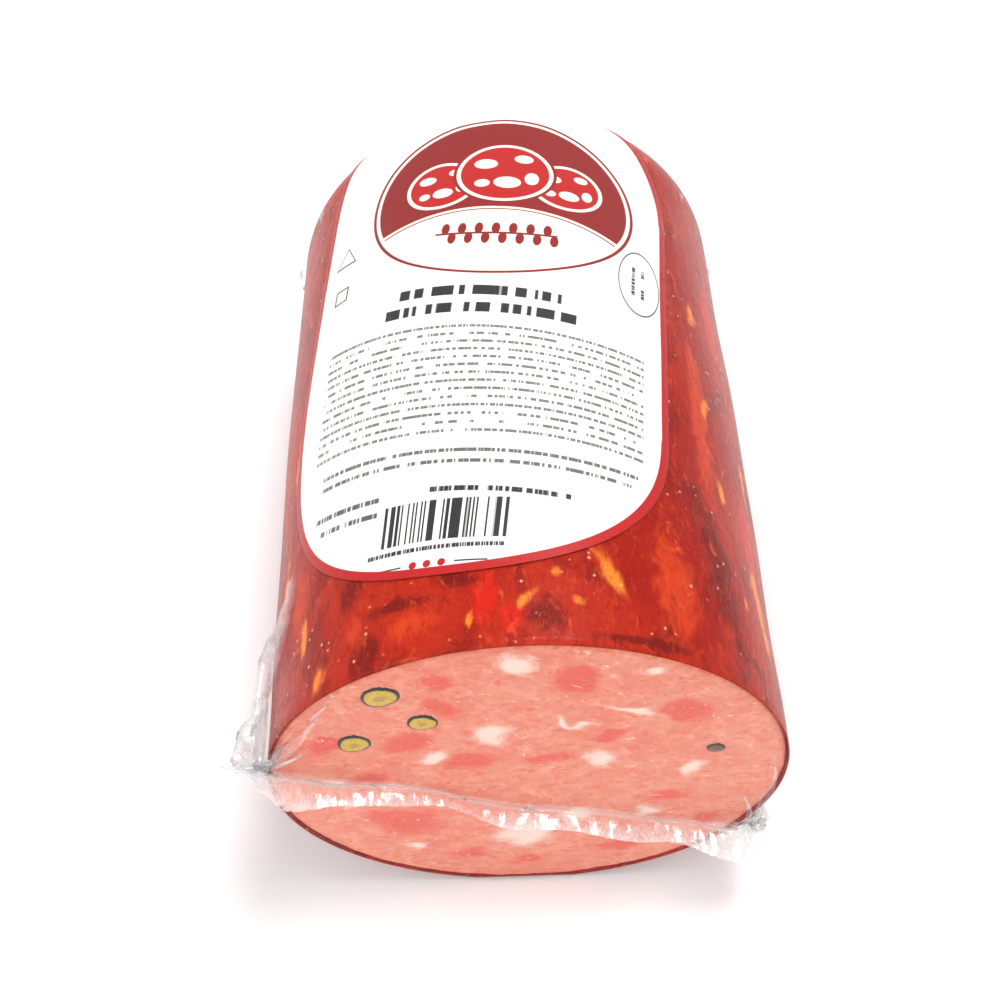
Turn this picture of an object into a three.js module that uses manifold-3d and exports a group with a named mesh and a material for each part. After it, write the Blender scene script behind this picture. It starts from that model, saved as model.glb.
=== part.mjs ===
import * as THREE from 'three';
import { mergeVertices } from 'three/addons/utils/BufferGeometryUtils.js';
import Module from 'manifold-3d';

// The cut end of a large cooked sausage: meat in a smoked casing, closed at the back by a metal clip,
// with a paper label over its top and a clear film bag shrunk round everything.
// Millimetres. +X across the sausage, +Y from the cut face to the clipped end, +Z up.

// The sausage
const BARREL_WIDTH = 102; // across the casing where it is widest
const BARREL_HEIGHT = 90; // from the flat underside of the casing to its top
const SAUSAGE_LENGTH = 158; // from the cut face to the tip of the rounded end
const END_DEPTH = 24; // the rounded end, from the shoulder to the tip
const END_FULLNESS = 2.6; // 2 makes an elliptical end, more makes a squarer shoulder
const UNDERSIDE_SAG = 2.6; // how much of the round its own weight presses flat
const CUT_TAPER = 1.8; // how much smaller the radius is at the cut than at the shoulder
const CUT_LEAN = 9; // how far the top of the cut face lies behind its bottom
const CASING_WALL = 0.3;
const LAYER_GAP = 0.2; // between one layer and the next

// The gathered end of the casing, and its clip
const NECK_RADIUS = 4.5;
const NECK_LENGTH = 4;
const TAIL_RADIUS = 7;
const TAIL_LENGTH = 4;
const CLIP_WIRE = 2.4;
const CLIP_OPENING = 12; // degrees left open where the two legs of the clip meet

// The label
const LABEL_THICKNESS = 0.15;
const LABEL_WIDTH = 85; // measured round the sausage
const LABEL_CUT_MARGIN = 15; // bare casing between the cut face and the label
const LABEL_TIP_MARGIN = 6; // from the far end of the label to the tip, seen from above
const LABEL_END_DEPTH = 38; // the curved part at each end
const LABEL_ROLL = 9; // degrees that the label sits towards -X
const LABEL_TWIST = 7; // degrees that it is turned, seen from above

// The film bag
const FILM_THICKNESS = 0.15;
const FILM_GAP = 0.25; // between the film and what it wraps
const WELD_OPENING = 0.3; // the two leaves of the front weld stay this far apart
const FRONT_FIN = 5; // how far the front weld stands out of the cut face
const REAR_FIN = 4; // the same at the back
const EAR_REACH = 6; // the corners of the bag stand this far off the sausage
const EAR_LENGTH = 16; // how far back from the cut face the film lifts towards a corner
const WELD_EDGE = 2.5; // closed stretch at each end of the front weld
const WELD_DROP = 27; // degrees below the middle, on the +X side, where the front weld ends
const WELD_RISE = 9; // degrees above the middle on the -X side

// Whole peppercorns cut through by the knife: turn in degrees clockwise from the top of the cut face,
// reach as a share of the way from its middle to its edge, radius in millimetres
const PEPPERCORNS = [
  { turn: -38, reach: 0.86, radius: 3.5 },
  { turn: -39, reach: 0.62, radius: 2.8 },
  { turn: -63, reach: 0.73, radius: 3.2 },
  { turn: 73, reach: 0.74, radius: 1.7 },
];
const PEPPER_GAP = 0.3;
const PEPPER_SET_BACK = 0.8; // from the cut face to the middle of each peppercorn

// Facets
const ROUND_STEPS = 40;
const BARREL_STEPS = 4;
const END_STEPS = 7;
const CURVE_STEPS = 8;

const RADIUS = BARREL_WIDTH / 2;
const SHOULDER = SAUSAGE_LENGTH - END_DEPTH;
const MEAT_LIFT = -CASING_WALL - LAYER_GAP;
const LABEL_LIFT = LAYER_GAP;
const FILM_LIFT = LABEL_LIFT + LABEL_THICKNESS + FILM_GAP;
const WRAPPED_LIFT = FILM_LIFT + FILM_THICKNESS;
const HALF_HEIGHT = (BARREL_HEIGHT + UNDERSIDE_SAG) / 2;
const SQUASH = HALF_HEIGHT / RADIUS;
const AXIS_HEIGHT = WRAPPED_LIFT + BARREL_HEIGHT - HALF_HEIGHT;
const TAIL_END = SAUSAGE_LENGTH + NECK_LENGTH + TAIL_LENGTH;
const OVERSHOOT = 2; // how far a cutting solid runs past what it cuts

// Where every layer has a ring of facets between the cut and the shoulder, so that layers nest.
const barrelStations = [EAR_LENGTH / 2];
for (let i = 0; i <= BARREL_STEPS; i++) {
  barrelStations.push(THREE.MathUtils.lerp(EAR_LENGTH, SHOULDER, i / BARREL_STEPS));
}

const wasm = await Module();
wasm.setup();

function toSolid(geometry) {
  const plain = geometry.clone();
  plain.deleteAttribute('normal');
  plain.deleteAttribute('uv');
  const merged = mergeVertices(plain.index ? plain.toNonIndexed() : plain, 1e-4);
  const triVerts = [];
  const index = merged.index.array;
  for (let i = 0; i < index.length; i += 3) {
    const [a, b, c] = [index[i], index[i + 1], index[i + 2]];
    if (a !== b && b !== c && c !== a) triVerts.push(a, b, c);
  }
  return new wasm.Manifold(
    new wasm.Mesh({
      numProp: 3,
      vertProperties: new Float32Array(merged.attributes.position.array),
      triVerts: new Uint32Array(triVerts),
    }),
  );
}

function toGeometry(solid) {
  const { vertProperties, triVerts } = solid.getMesh();
  const geometry = new THREE.BufferGeometry();
  geometry.setAttribute('position', new THREE.BufferAttribute(vertProperties, 3));
  geometry.setIndex(new THREE.BufferAttribute(triVerts, 1));
  geometry.computeVertexNormals();
  return geometry;
}

// Every piece is first drawn round the Y axis. Pressing it lowers the round to the real oval, lays
// its underside flat on what the piece rests on, and leans the cut face.
function press(geometry, lift = 0) {
  const floor = WRAPPED_LIFT - lift;
  const position = geometry.attributes.position;
  for (let i = 0; i < position.count; i++) {
    const height = Math.max(position.getZ(i) * SQUASH + AXIS_HEIGHT, floor);
    const along = position.getY(i);
    const toShoulder = THREE.MathUtils.clamp(along / SHOULDER, 0, 1);
    const lean = ((height - AXIS_HEIGHT) / BARREL_HEIGHT) * CUT_LEAN * (1 - toShoulder);
    position.setXYZ(i, position.getX(i), along + lean, height);
  }
  return geometry;
}

// The half outline of the sausage, `lift` outside its casing: from the axis at the cut to the rim,
// along the barrel, and round the closed end until it is `stopRadius` from the axis.
function skinOutline(lift, front, stopRadius = 0) {
  const radius = RADIUS + lift;
  const depth = END_DEPTH + lift;
  const outline = [new THREE.Vector2(0, front), new THREE.Vector2(radius - CUT_TAPER, front)];
  for (const along of barrelStations) {
    const taper = CUT_TAPER * (1 - along / SHOULDER) ** 2;
    outline.push(new THREE.Vector2(radius - taper, along));
  }
  const lastTurn = Math.acos((stopRadius / radius) ** (END_FULLNESS / 2));
  for (let i = 1; i <= END_STEPS; i++) {
    const turn = (i / END_STEPS) * lastTurn;
    const out = i === END_STEPS ? stopRadius : radius * Math.cos(turn) ** (2 / END_FULLNESS);
    outline.push(new THREE.Vector2(out, SHOULDER + depth * Math.sin(turn) ** (2 / END_FULLNESS)));
  }
  return outline;
}

function skinSolid(lift, front = 0) {
  return toSolid(press(new THREE.LatheGeometry(skinOutline(lift, front), ROUND_STEPS), lift));
}

// Peppercorns ---------------------------------------------------------------------------------

function pepperSolid({ turn, reach, radius }, gap) {
  const faceRadius = RADIUS - CUT_TAPER + MEAT_LIFT;
  const angle = THREE.MathUtils.degToRad(turn);
  const corn = new THREE.SphereGeometry(radius + gap, 14, 10);
  corn.translate(Math.sin(angle) * faceRadius * reach, PEPPER_SET_BACK, Math.cos(angle) * faceRadius * reach);
  return toSolid(press(corn));
}

function peppercorn(place) {
  return toGeometry(pepperSolid(place, 0).intersect(skinSolid(MEAT_LIFT)));
}

// Meat ----------------------------------------------------------------------------------------

function meat() {
  const filling = PEPPERCORNS.reduce(
    (solid, place) => solid.subtract(pepperSolid(place, PEPPER_GAP)),
    skinSolid(MEAT_LIFT),
  );
  return toGeometry(filling);
}

// Casing: a cup open at the cut, gathered to a neck and a short flared tail -----------------------

function casing() {
  const outline = skinOutline(0, 0, NECK_RADIUS);
  outline.push(new THREE.Vector2(NECK_RADIUS, SAUSAGE_LENGTH + NECK_LENGTH));
  outline.push(new THREE.Vector2(TAIL_RADIUS, TAIL_END));
  outline.push(new THREE.Vector2(0, TAIL_END));
  const outside = toSolid(press(new THREE.LatheGeometry(outline, ROUND_STEPS)));
  return toGeometry(outside.subtract(skinSolid(-CASING_WALL, -OVERSHOOT)));
}

// End clip: a wire bent round the neck ------------------------------------------------------------

class ClipLoop extends THREE.Curve {
  getPoint(share) {
    const radius = NECK_RADIUS + PEPPER_GAP + CLIP_WIRE / 2;
    const opening = THREE.MathUtils.degToRad(CLIP_OPENING);
    const angle = Math.PI + opening / 2 + share * (2 * Math.PI - opening);
    const middle = SAUSAGE_LENGTH + NECK_LENGTH / 2;
    return new THREE.Vector3(Math.sin(angle) * radius, middle, Math.cos(angle) * radius);
  }
}

function endClip() {
  const wire = new THREE.Shape().absellipse(0, 0, CLIP_WIRE / 2, CLIP_WIRE / 2, 0, 2 * Math.PI);
  const loop = new THREE.ExtrudeGeometry(wire, {
    extrudePath: new ClipLoop(),
    steps: 24,
    curveSegments: CURVE_STEPS / 2,
  });
  return press(loop);
}

// Label: the part of a thin layer over the casing that lies under a long rounded outline ----------

function label() {
  const halfWidth = RADIUS * Math.sin(LABEL_WIDTH / 2 / RADIUS);
  const straight = (SAUSAGE_LENGTH - LABEL_CUT_MARGIN - LABEL_TIP_MARGIN) / 2 - LABEL_END_DEPTH;
  const outline = new THREE.Shape();
  outline.absellipse(0, straight, halfWidth, LABEL_END_DEPTH, 0, Math.PI);
  outline.absellipse(0, -straight, halfWidth, LABEL_END_DEPTH, Math.PI, 2 * Math.PI);
  const cutter = new THREE.ExtrudeGeometry(outline, {
    depth: BARREL_WIDTH,
    curveSegments: 2 * CURVE_STEPS,
    bevelEnabled: false,
  });
  cutter.rotateZ(-THREE.MathUtils.degToRad(LABEL_TWIST));
  cutter.translate(0, LABEL_CUT_MARGIN + straight + LABEL_END_DEPTH, 0);
  cutter.rotateY(-THREE.MathUtils.degToRad(LABEL_ROLL));
  const layer = skinSolid(LABEL_LIFT + LABEL_THICKNESS).subtract(skinSolid(LABEL_LIFT));
  return toGeometry(layer.intersect(toSolid(press(cutter))));
}

// Film bag ----------------------------------------------------------------------------------------

const weldEnds = [90 + WELD_DROP, WELD_RISE - 90].map(THREE.MathUtils.degToRad);

// Film that is pulled to a point leaves a round of radius 1 where it is tangent, `spread` to either
// side of the point, and runs straight to it.
function pulled(away, spread) {
  return away < spread ? 1 / Math.cos(spread - away) : 1;
}

// The corners of the bag at the cut face: the film lifts off the round side and runs to a tip.
function pullEars(geometry, lift) {
  const position = geometry.attributes.position;
  for (let i = 0; i < position.count; i++) {
    const [x, y, z] = [position.getX(i), position.getY(i), position.getZ(i)];
    const reach = EAR_REACH * THREE.MathUtils.clamp(1 - y / EAR_LENGTH, 0, 1);
    const spread = Math.acos((RADIUS + lift) / (RADIUS + lift + reach));
    const angle = Math.atan2(x, z);
    const away = weldEnds.map((end) => Math.abs(Math.atan2(Math.sin(angle - end), Math.cos(angle - end))));
    const scale = pulled(Math.min(...away), spread);
    position.setXYZ(i, x * scale, y, z * scale);
  }
}

// At the back the film leaves the rounded end and closes in a level ridge behind the tail.
const tailOut = (Math.max(TAIL_RADIUS, NECK_RADIUS + PEPPER_GAP + CLIP_WIRE) + FILM_GAP) / RADIUS;
const tailBack = (TAIL_END + FILM_GAP - SHOULDER) / END_DEPTH;
const ridgeSpread = Math.atan2(tailOut, tailBack) + Math.acos(1 / Math.hypot(tailOut, tailBack));

function pullRidge(geometry, lift) {
  const position = geometry.attributes.position;
  for (let i = 0; i < position.count; i++) {
    const back = (position.getY(i) - SHOULDER) / (END_DEPTH + lift);
    const up = position.getZ(i) / (RADIUS + lift);
    if (back > 0) {
      const scale = pulled(Math.abs(Math.atan2(up, back)), ridgeSpread);
      position.setY(i, SHOULDER + (position.getY(i) - SHOULDER) * scale);
      position.setZ(i, position.getZ(i) * scale);
    }
  }
}

function bagSolid(lift, front) {
  const bag = new THREE.LatheGeometry(skinOutline(lift, front), ROUND_STEPS);
  pullEars(bag, lift);
  pullRidge(bag, lift);
  return toSolid(press(bag, lift));
}

// A flat strip across the cut face, from one corner of the bag to the other, less `edge` at each end.
function weldStrip(thickness, edge, back, front) {
  const reach = RADIUS - CUT_TAPER + EAR_REACH;
  const corner = (angle) => new THREE.Vector3(Math.sin(angle), 0, Math.cos(angle)).multiplyScalar(reach);
  const [right, left] = weldEnds.map(corner);
  const across = right.clone().sub(left);
  const strip = new THREE.BoxGeometry(across.length() - 2 * edge, back - front, thickness);
  strip.rotateY(Math.atan2(-across.z, across.x));
  strip.translate((right.x + left.x) / 2, (back + front) / 2, (right.z + left.z) / 2);
  return toSolid(press(strip));
}

function rearFin() {
  const ridge = (END_DEPTH + WRAPPED_LIFT) / Math.cos(ridgeSpread);
  const outline = new THREE.Shape().absellipse(0, SHOULDER, 0.9 * RADIUS, ridge + REAR_FIN, 0, Math.PI);
  const fin = new THREE.ExtrudeGeometry(outline, {
    depth: 2 * FILM_THICKNESS,
    curveSegments: 2 * CURVE_STEPS,
    bevelEnabled: false,
  });
  fin.translate(0, 0, -FILM_THICKNESS);
  return toSolid(press(fin));
}

function filmBag() {
  const face = -FILM_GAP - FILM_THICKNESS;
  const leaves = WELD_OPENING + 2 * FILM_THICKNESS;
  const outside = bagSolid(WRAPPED_LIFT, face)
    .add(weldStrip(leaves, WELD_EDGE / 2, -FILM_GAP, face - FRONT_FIN))
    .add(rearFin());
  const opening = weldStrip(WELD_OPENING, WELD_EDGE, -FILM_GAP / 2, face - FRONT_FIN - OVERSHOOT);
  return toGeometry(outside.subtract(bagSolid(FILM_LIFT, -FILM_GAP)).subtract(opening));
}

// Assembly ----------------------------------------------------------------------------------------

const COOKED_MEAT = new THREE.MeshStandardMaterial({ color: 0xe39a86, roughness: 0.55 });
const SMOKED_CASING = new THREE.MeshStandardMaterial({ color: 0xc2401c, roughness: 0.35 });
const GREEN_PEPPER = new THREE.MeshStandardMaterial({ color: 0xb49a3a, roughness: 0.6 });
const CLIP_METAL = new THREE.MeshStandardMaterial({ color: 0xc9ccd0, roughness: 0.35, metalness: 1 });
const LABEL_PAPER = new THREE.MeshStandardMaterial({ color: 0xf6f5f2, roughness: 0.5 });
const CLEAR_FILM = new THREE.MeshStandardMaterial({
  color: 0xf4f4f2,
  roughness: 0.1,
  transparent: true,
  opacity: 0.35,
});

const sausage = new THREE.Group();

function addPiece(name, geometry, material) {
  const mesh = new THREE.Mesh(geometry, material);
  mesh.name = name;
  sausage.add(mesh);
}

addPiece('sausage_meat', meat(), COOKED_MEAT);
addPiece('casing', casing(), SMOKED_CASING);
addPiece('end_clip', endClip(), CLIP_METAL);
addPiece('label', label(), LABEL_PAPER);
addPiece('film_bag', filmBag(), CLEAR_FILM);
PEPPERCORNS.forEach((place, i) => addPiece(`peppercorn_${i + 1}`, peppercorn(place), GREEN_PEPPER));

// The origin is on the surface that the sausage lies on, under its axis and the middle of its length.
const extent = new THREE.Box3().setFromObject(sausage);
sausage.position.y = -(extent.min.y + extent.max.y) / 2;

export default sausage;
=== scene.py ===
# %% [markdown]
# # The cut end of a large cooked sausage, in its casing, label and shrunk film
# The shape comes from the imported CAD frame. Everything here is drawn in millimetres round the
# sausage's own axis, pressed into the real oval, and turned into metres when a mesh is made.

import math

import bpy
import numpy as np
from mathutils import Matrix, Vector


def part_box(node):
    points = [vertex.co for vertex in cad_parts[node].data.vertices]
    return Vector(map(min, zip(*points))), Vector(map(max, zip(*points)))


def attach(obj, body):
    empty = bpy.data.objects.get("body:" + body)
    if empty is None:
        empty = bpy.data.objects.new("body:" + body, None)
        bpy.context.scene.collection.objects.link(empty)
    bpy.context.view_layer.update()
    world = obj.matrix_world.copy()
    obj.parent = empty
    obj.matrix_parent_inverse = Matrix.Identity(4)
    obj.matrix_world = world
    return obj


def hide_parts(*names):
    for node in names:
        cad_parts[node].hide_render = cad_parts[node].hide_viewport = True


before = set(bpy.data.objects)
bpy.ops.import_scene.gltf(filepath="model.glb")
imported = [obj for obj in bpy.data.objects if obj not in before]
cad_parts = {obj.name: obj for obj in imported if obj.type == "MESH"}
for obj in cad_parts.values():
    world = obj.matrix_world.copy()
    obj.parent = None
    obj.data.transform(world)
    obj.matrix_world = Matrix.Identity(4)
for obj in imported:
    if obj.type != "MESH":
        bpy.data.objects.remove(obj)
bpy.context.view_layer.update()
MM = 0.001
print("CAD nodes:", ", ".join(sorted(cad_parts)))

# %% [markdown]
# ## The sausage's form
# A stuffed casing is a round tube that its own weight has pressed flat underneath. One way to model
# it is to sculpt an oval. It is easier to keep every layer round, place points by how far along the
# sausage they are and at which angle, and press all layers with one function, so they always nest.

# %% Sizes
# Millimetres. What is read from the casing's box follows the CAD. The bare numbers are the CAD's own.
casing_low, casing_high = (Vector(corner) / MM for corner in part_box("casing"))
film_low, film_high = (Vector(corner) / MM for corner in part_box("film_bag"))
RADIUS = casing_high.x
HEIGHT = casing_high.z - casing_low.z
UNDER_FILM = casing_low.z
END_DEPTH = 24
END_FULLNESS = 2.6
SAG = 2.6
CUT_TAPER = 1.8
CUT_LEAN = 9
NECK_RADIUS, NECK_LENGTH = 4.5, 4
TAIL_RADIUS, TAIL_LENGTH = 7, 4
CASING_WALL = 0.3
TIP_Y = casing_high.y - NECK_LENGTH - TAIL_LENGTH
LENGTH = 158
SHOULDER = LENGTH - END_DEPTH
MM_PER_DEGREE = RADIUS * math.pi / 180
CUT_Y = TIP_Y - LENGTH
HALF_HEIGHT = (HEIGHT + SAG) / 2
SQUASH = HALF_HEIGHT / RADIUS
AXIS_Z = casing_high.z - HALF_HEIGHT
print(f"casing {2 * RADIUS:.1f} wide, {HEIGHT:.1f} high, cut at y {CUT_Y:.1f}, tip at y {TIP_Y:.1f}")
print(f"the CAD's film bag runs from y {film_low.y:.1f} to {film_high.y:.1f}")

# %% [markdown]
# ## Press, outline and skin
# `press` flattens the round form and leans its cut face, and `profile` is the half outline of a
# stuffed casing, a little narrower at the cut. The outline could be a curve object with a Screw
# modifier, but every other layer has to be measured from it too, so it is kept as numbers. `skin`
# gives any point near the casing.

# %% Pressing the round form into the real one


def press(out_x, along, out_z, lift=0.0):
    """Points drawn round the axis, as points of the lying sausage."""
    height = np.maximum(out_z * SQUASH + AXIS_Z, UNDER_FILM - lift)
    lean = (height - AXIS_Z) / HEIGHT * CUT_LEAN * (1 - np.clip(along / SHOULDER, 0, 1))
    out_x, along, height = np.broadcast_arrays(out_x, along + lean + CUT_Y, height)
    return np.stack([out_x, along, height], axis=-1)


def profile(steps=400):
    """The casing's half outline: path length from the cut, place along the axis, and radius."""
    straight = np.linspace(0, SHOULDER, steps)
    turn = np.linspace(0, math.pi / 2, steps)[1:]
    along = np.concatenate([straight, SHOULDER + END_DEPTH * np.sin(turn) ** (2 / END_FULLNESS)])
    barrel = RADIUS - CUT_TAPER * (1 - straight / SHOULDER) ** 2
    radius = np.concatenate([barrel, RADIUS * np.clip(np.cos(turn), 0, 1) ** (2 / END_FULLNESS)])
    path = np.concatenate([[0], np.cumsum(np.hypot(np.diff(along), np.diff(radius)))])
    return path, along, radius


PATH, ALONG, OUT = profile()
TIP_PATH = PATH[-1]
SLOPE_ALONG, SLOPE_OUT = np.gradient(ALONG, PATH), np.gradient(OUT, PATH)


def lumps(path, angle):
    """Small unevenness of the stuffed meat, which every layer over it follows."""
    waves = (
        0.28 * np.sin(path / 23 + 1.3) * np.sin(2 * angle + 0.4)
        + 0.22 * np.sin(path / 13 - 0.7) * np.sin(3 * angle + path / 60)
        + 0.12 * np.sin(path / 7.1 + 2 * np.sin(angle)) * np.sin(5 * angle + 1.1)
    )
    return waves * np.clip(path / 12, 0, 1)


def skin(path, angle, lift):
    """Points `lift` outside the casing, `path` from the cut and at `angle` clockwise from the top."""
    path, angle, lift = np.broadcast_arrays(path, angle, lift)
    rise = lift + lumps(path, angle)
    out = np.interp(path, PATH, OUT) + rise * np.interp(path, PATH, SLOPE_ALONG)
    along = np.interp(path, PATH, ALONG) - rise * np.interp(path, PATH, SLOPE_OUT)
    along = along + np.minimum(path, 0)
    return press(out * np.sin(angle), along, out * np.cos(angle), lift)


print(f"outline {TIP_PATH:.1f} mm long from the cut to the tip")

# %% [markdown]
# ## Meshes from grids
# Every sheet-like piece is a grid of points. Modifiers or bmesh could build them step by step, but a
# grid becomes a mesh in one call, and values that a material needs are stored on its points as
# attributes.

# %% Grid to mesh


def add_piece(name, points, faces, node, attributes=None):
    """A mesh object in the frame, standing for a CAD node."""
    mesh = bpy.data.meshes.new(name)
    mesh.from_pydata((np.asarray(points) * MM).tolist(), [], faces)
    for key, values in (attributes or {}).items():
        values = np.asarray(values, dtype=float)
        kind = "FLOAT_VECTOR" if values.ndim == 2 else "FLOAT"
        field = "vector" if values.ndim == 2 else "value"
        mesh.attributes.new(key, kind, "POINT").data.foreach_set(field, values.ravel())
    mesh.shade_smooth()
    mesh.validate()
    piece = bpy.data.objects.new(name, mesh)
    bpy.context.collection.objects.link(piece)
    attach(piece, "root")
    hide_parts(node)
    print(f"{name}: {len(mesh.vertices)} points, {len(mesh.polygons)} faces")
    return piece


def grid_faces(rows, columns, wrap=False, first=0):
    """Quads between the points of a grid, and round its seam if it wraps."""
    row = np.arange(rows - 1)[:, None] * columns + first
    here = np.arange(columns if wrap else columns - 1)[None, :]
    there = (here + 1) % columns
    quads = np.stack([row + here, row + there, row + there + columns, row + here + columns], axis=-1)
    return quads.reshape(-1, 4).tolist()


def turned(profile_rows, columns, name, node, attributes=None):
    """A closed piece from rings: the first and last rows shrink to a point each."""
    rings = np.asarray(profile_rows)
    rows = len(rings)
    points = np.concatenate([rings.reshape(-1, 3), [rings[0].mean(axis=0), rings[-1].mean(axis=0)]])
    faces = grid_faces(rows, columns, wrap=True)
    start, end = rows * columns, rows * columns + 1
    for i in range(columns):
        after = (i + 1) % columns
        faces.append([start, after, i])
        faces.append([end, (rows - 1) * columns + i, (rows - 1) * columns + after])
    return add_piece(name, points, faces, node, attributes)


print("mesh helpers ready")

# %% [markdown]
# ## Shader maths
# A material is written as an expression. `Wire` wraps a socket, so adding or multiplying two wires
# adds the Math node that does it. Every other node comes from `Paint.add`.

# %% Wires and paints


class Wire:
    """The output of a node, which Python's operators combine."""

    def __init__(self, paint, socket):
        self.paint, self.socket = paint, socket

    def _math(self, operation, *values):
        inputs = dict(enumerate(values))
        return self.paint.add("ShaderNodeMath", {"operation": operation}, inputs)

    def __add__(self, other):
        return self._math("ADD", self, other)

    def __sub__(self, other):
        return self._math("SUBTRACT", self, other)

    def __rsub__(self, other):
        return self._math("SUBTRACT", other, self)

    def __mul__(self, other):
        return self._math("MULTIPLY", self, other)

    def __truediv__(self, other):
        return self._math("DIVIDE", self, other)

    def __pow__(self, other):
        return self._math("POWER", self, other)

    def __abs__(self):
        return self._math("ABSOLUTE", self)

    __radd__ = __add__
    __rmul__ = __mul__

    def least(self, other):
        return self._math("MINIMUM", self, other)

    def most(self, other):
        return self._math("MAXIMUM", self, other)

    def ramp(self, low, high, start=0.0, end=1.0):
        """Eases from `start` to `end` as this value goes from `low` to `high`."""
        settings = {"interpolation_type": "SMOOTHSTEP"}
        inputs = {"Value": self, "From Min": low, "From Max": high, "To Min": start, "To Max": end}
        return self.paint.add("ShaderNodeMapRange", settings, inputs)


class Paint:
    """A material, and the nodes that are added to it."""

    def __init__(self, name):
        self.material = bpy.data.materials.new(name)
        self.material.use_nodes = True
        self.tree = self.material.node_tree
        self.tree.nodes.clear()

    def add(self, kind, settings=None, inputs=None, output=0):
        """Adds a node, sets it up, and gives one of its outputs as a wire."""
        node = self.tree.nodes.new(kind)
        for key, value in (settings or {}).items():
            setattr(node, key, value)
        for key, value in (inputs or {}).items():
            if isinstance(value, Wire):
                self.tree.links.new(value.socket, node.inputs[key])
            else:
                node.inputs[key].default_value = value
        return Wire(self, node.outputs[output])

    def noise(self, where, scale, detail=2.0, roughness=0.5, distortion=0.0):
        inputs = {"Vector": where, "Scale": scale, "Detail": detail, "Roughness": roughness}
        return self.add("ShaderNodeTexNoise", None, inputs | {"Distortion": distortion}, "Fac")

    def cells(self, where, scale, feature="F1"):
        inputs = {"Vector": where, "Scale": scale}
        return self.add("ShaderNodeTexVoronoi", {"feature": feature}, inputs, "Distance")

    def mix(self, amount, first, second):
        """Blends two colours."""
        inputs = {0: amount, 6: first, 7: second}
        return self.add("ShaderNodeMix", {"data_type": "RGBA"}, inputs, 2)

    def point(self):
        """The place of the point, in millimetres."""
        return self.add("ShaderNodeTexCoord", output="Object").scaled((1 / MM,) * 3)

    def attribute(self, name, output="Fac"):
        return self.add("ShaderNodeAttribute", {"attribute_name": name}, output=output)

    def bump(self, height, distance, strength=1.0, normal=None):
        """A normal that follows a height, where 1 stands `distance` millimetres high."""
        inputs = {"Height": height, "Distance": distance * MM, "Strength": strength}
        if normal:
            inputs["Normal"] = normal
        return self.add("ShaderNodeBump", None, inputs)

    def finish(self, shader):
        output = self.tree.nodes.new("ShaderNodeOutputMaterial")
        self.tree.links.new(shader.socket, output.inputs["Surface"])
        return self.material

    def surface(self, **inputs):
        """Ends the material in one Principled shader."""
        named = {key.replace("_", " ").title(): value for key, value in inputs.items()}
        named = {key.replace("Ior", "IOR"): value for key, value in named.items()}
        return self.finish(self.add("ShaderNodeBsdfPrincipled", None, named))


def scaled(self, factors):
    """This vector, with each part multiplied."""
    settings = {"operation": "MULTIPLY"}
    return self.paint.add("ShaderNodeVectorMath", settings, {0: self, 1: factors})


def part(self, axis):
    """One of the three parts of this vector."""
    return self.paint.add("ShaderNodeSeparateXYZ", None, {0: self}, axis)


Wire.scaled, Wire.part = scaled, part
print("shader helpers ready")

# %% [markdown]
# ## Noise for shapes
# Shapes need noise too, and it has to be the same on every run. Blender's noise functions take one
# point at a time. A small lattice of seeded random values, blended smoothly, gives noise for whole
# arrays of points at once.

# %% Lattice noise
LATTICE = np.random.default_rng(11).uniform(-1, 1, (32, 32, 32))


def lattice_noise(points, size):
    """Smooth noise from -1 to 1 at points, with features about `size` across."""
    place = np.asarray(points, dtype=float) / size
    low = np.floor(place).astype(int)
    part_way = place - low
    blend = part_way * part_way * (3 - 2 * part_way)
    total = 0.0
    for corner in np.ndindex(2, 2, 2):
        weight = np.prod(np.where(corner, blend, 1 - blend), axis=-1)
        x, y, z = np.moveaxis((low + corner) % 32, -1, 0)
        total = total + weight * LATTICE[x, y, z]
    return total


def rough_noise(points, size, layers=3):
    """Several sizes of noise added up, each half as large and half as strong."""
    return sum(lattice_noise(points, size / 2**i) / 2**i for i in range(layers))


print("noise ready")

# %% [markdown]
# ## Peppercorns
# Whole green peppercorns lie in the meat, and the knife has cut through the ones at the face. A cut
# corn is a shallow cap with a wrinkled dark skin round a paler heart. A flattened sphere would be
# quick, but its top would be round, where a cut is nearly flat. So its face is a grid of rings whose
# outermost ones turn down into the meat.

# %% Peppercorn shapes
FACE_LIFT = -0.5
FACE_RADIUS = RADIUS - CUT_TAPER + FACE_LIFT
PEPPERCORNS = {
    "peppercorn_1": (-38, 0.86, 3.5),
    "peppercorn_2": (-39, 0.62, 2.8),
    "peppercorn_3": (-63, 0.73, 3.2),
    "peppercorn_4": (73, 0.74, 1.7),
}


def corn_middle(turn, reach):
    angle = math.radians(turn)
    return np.array([math.sin(angle), math.cos(angle)]) * reach * FACE_RADIUS


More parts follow.
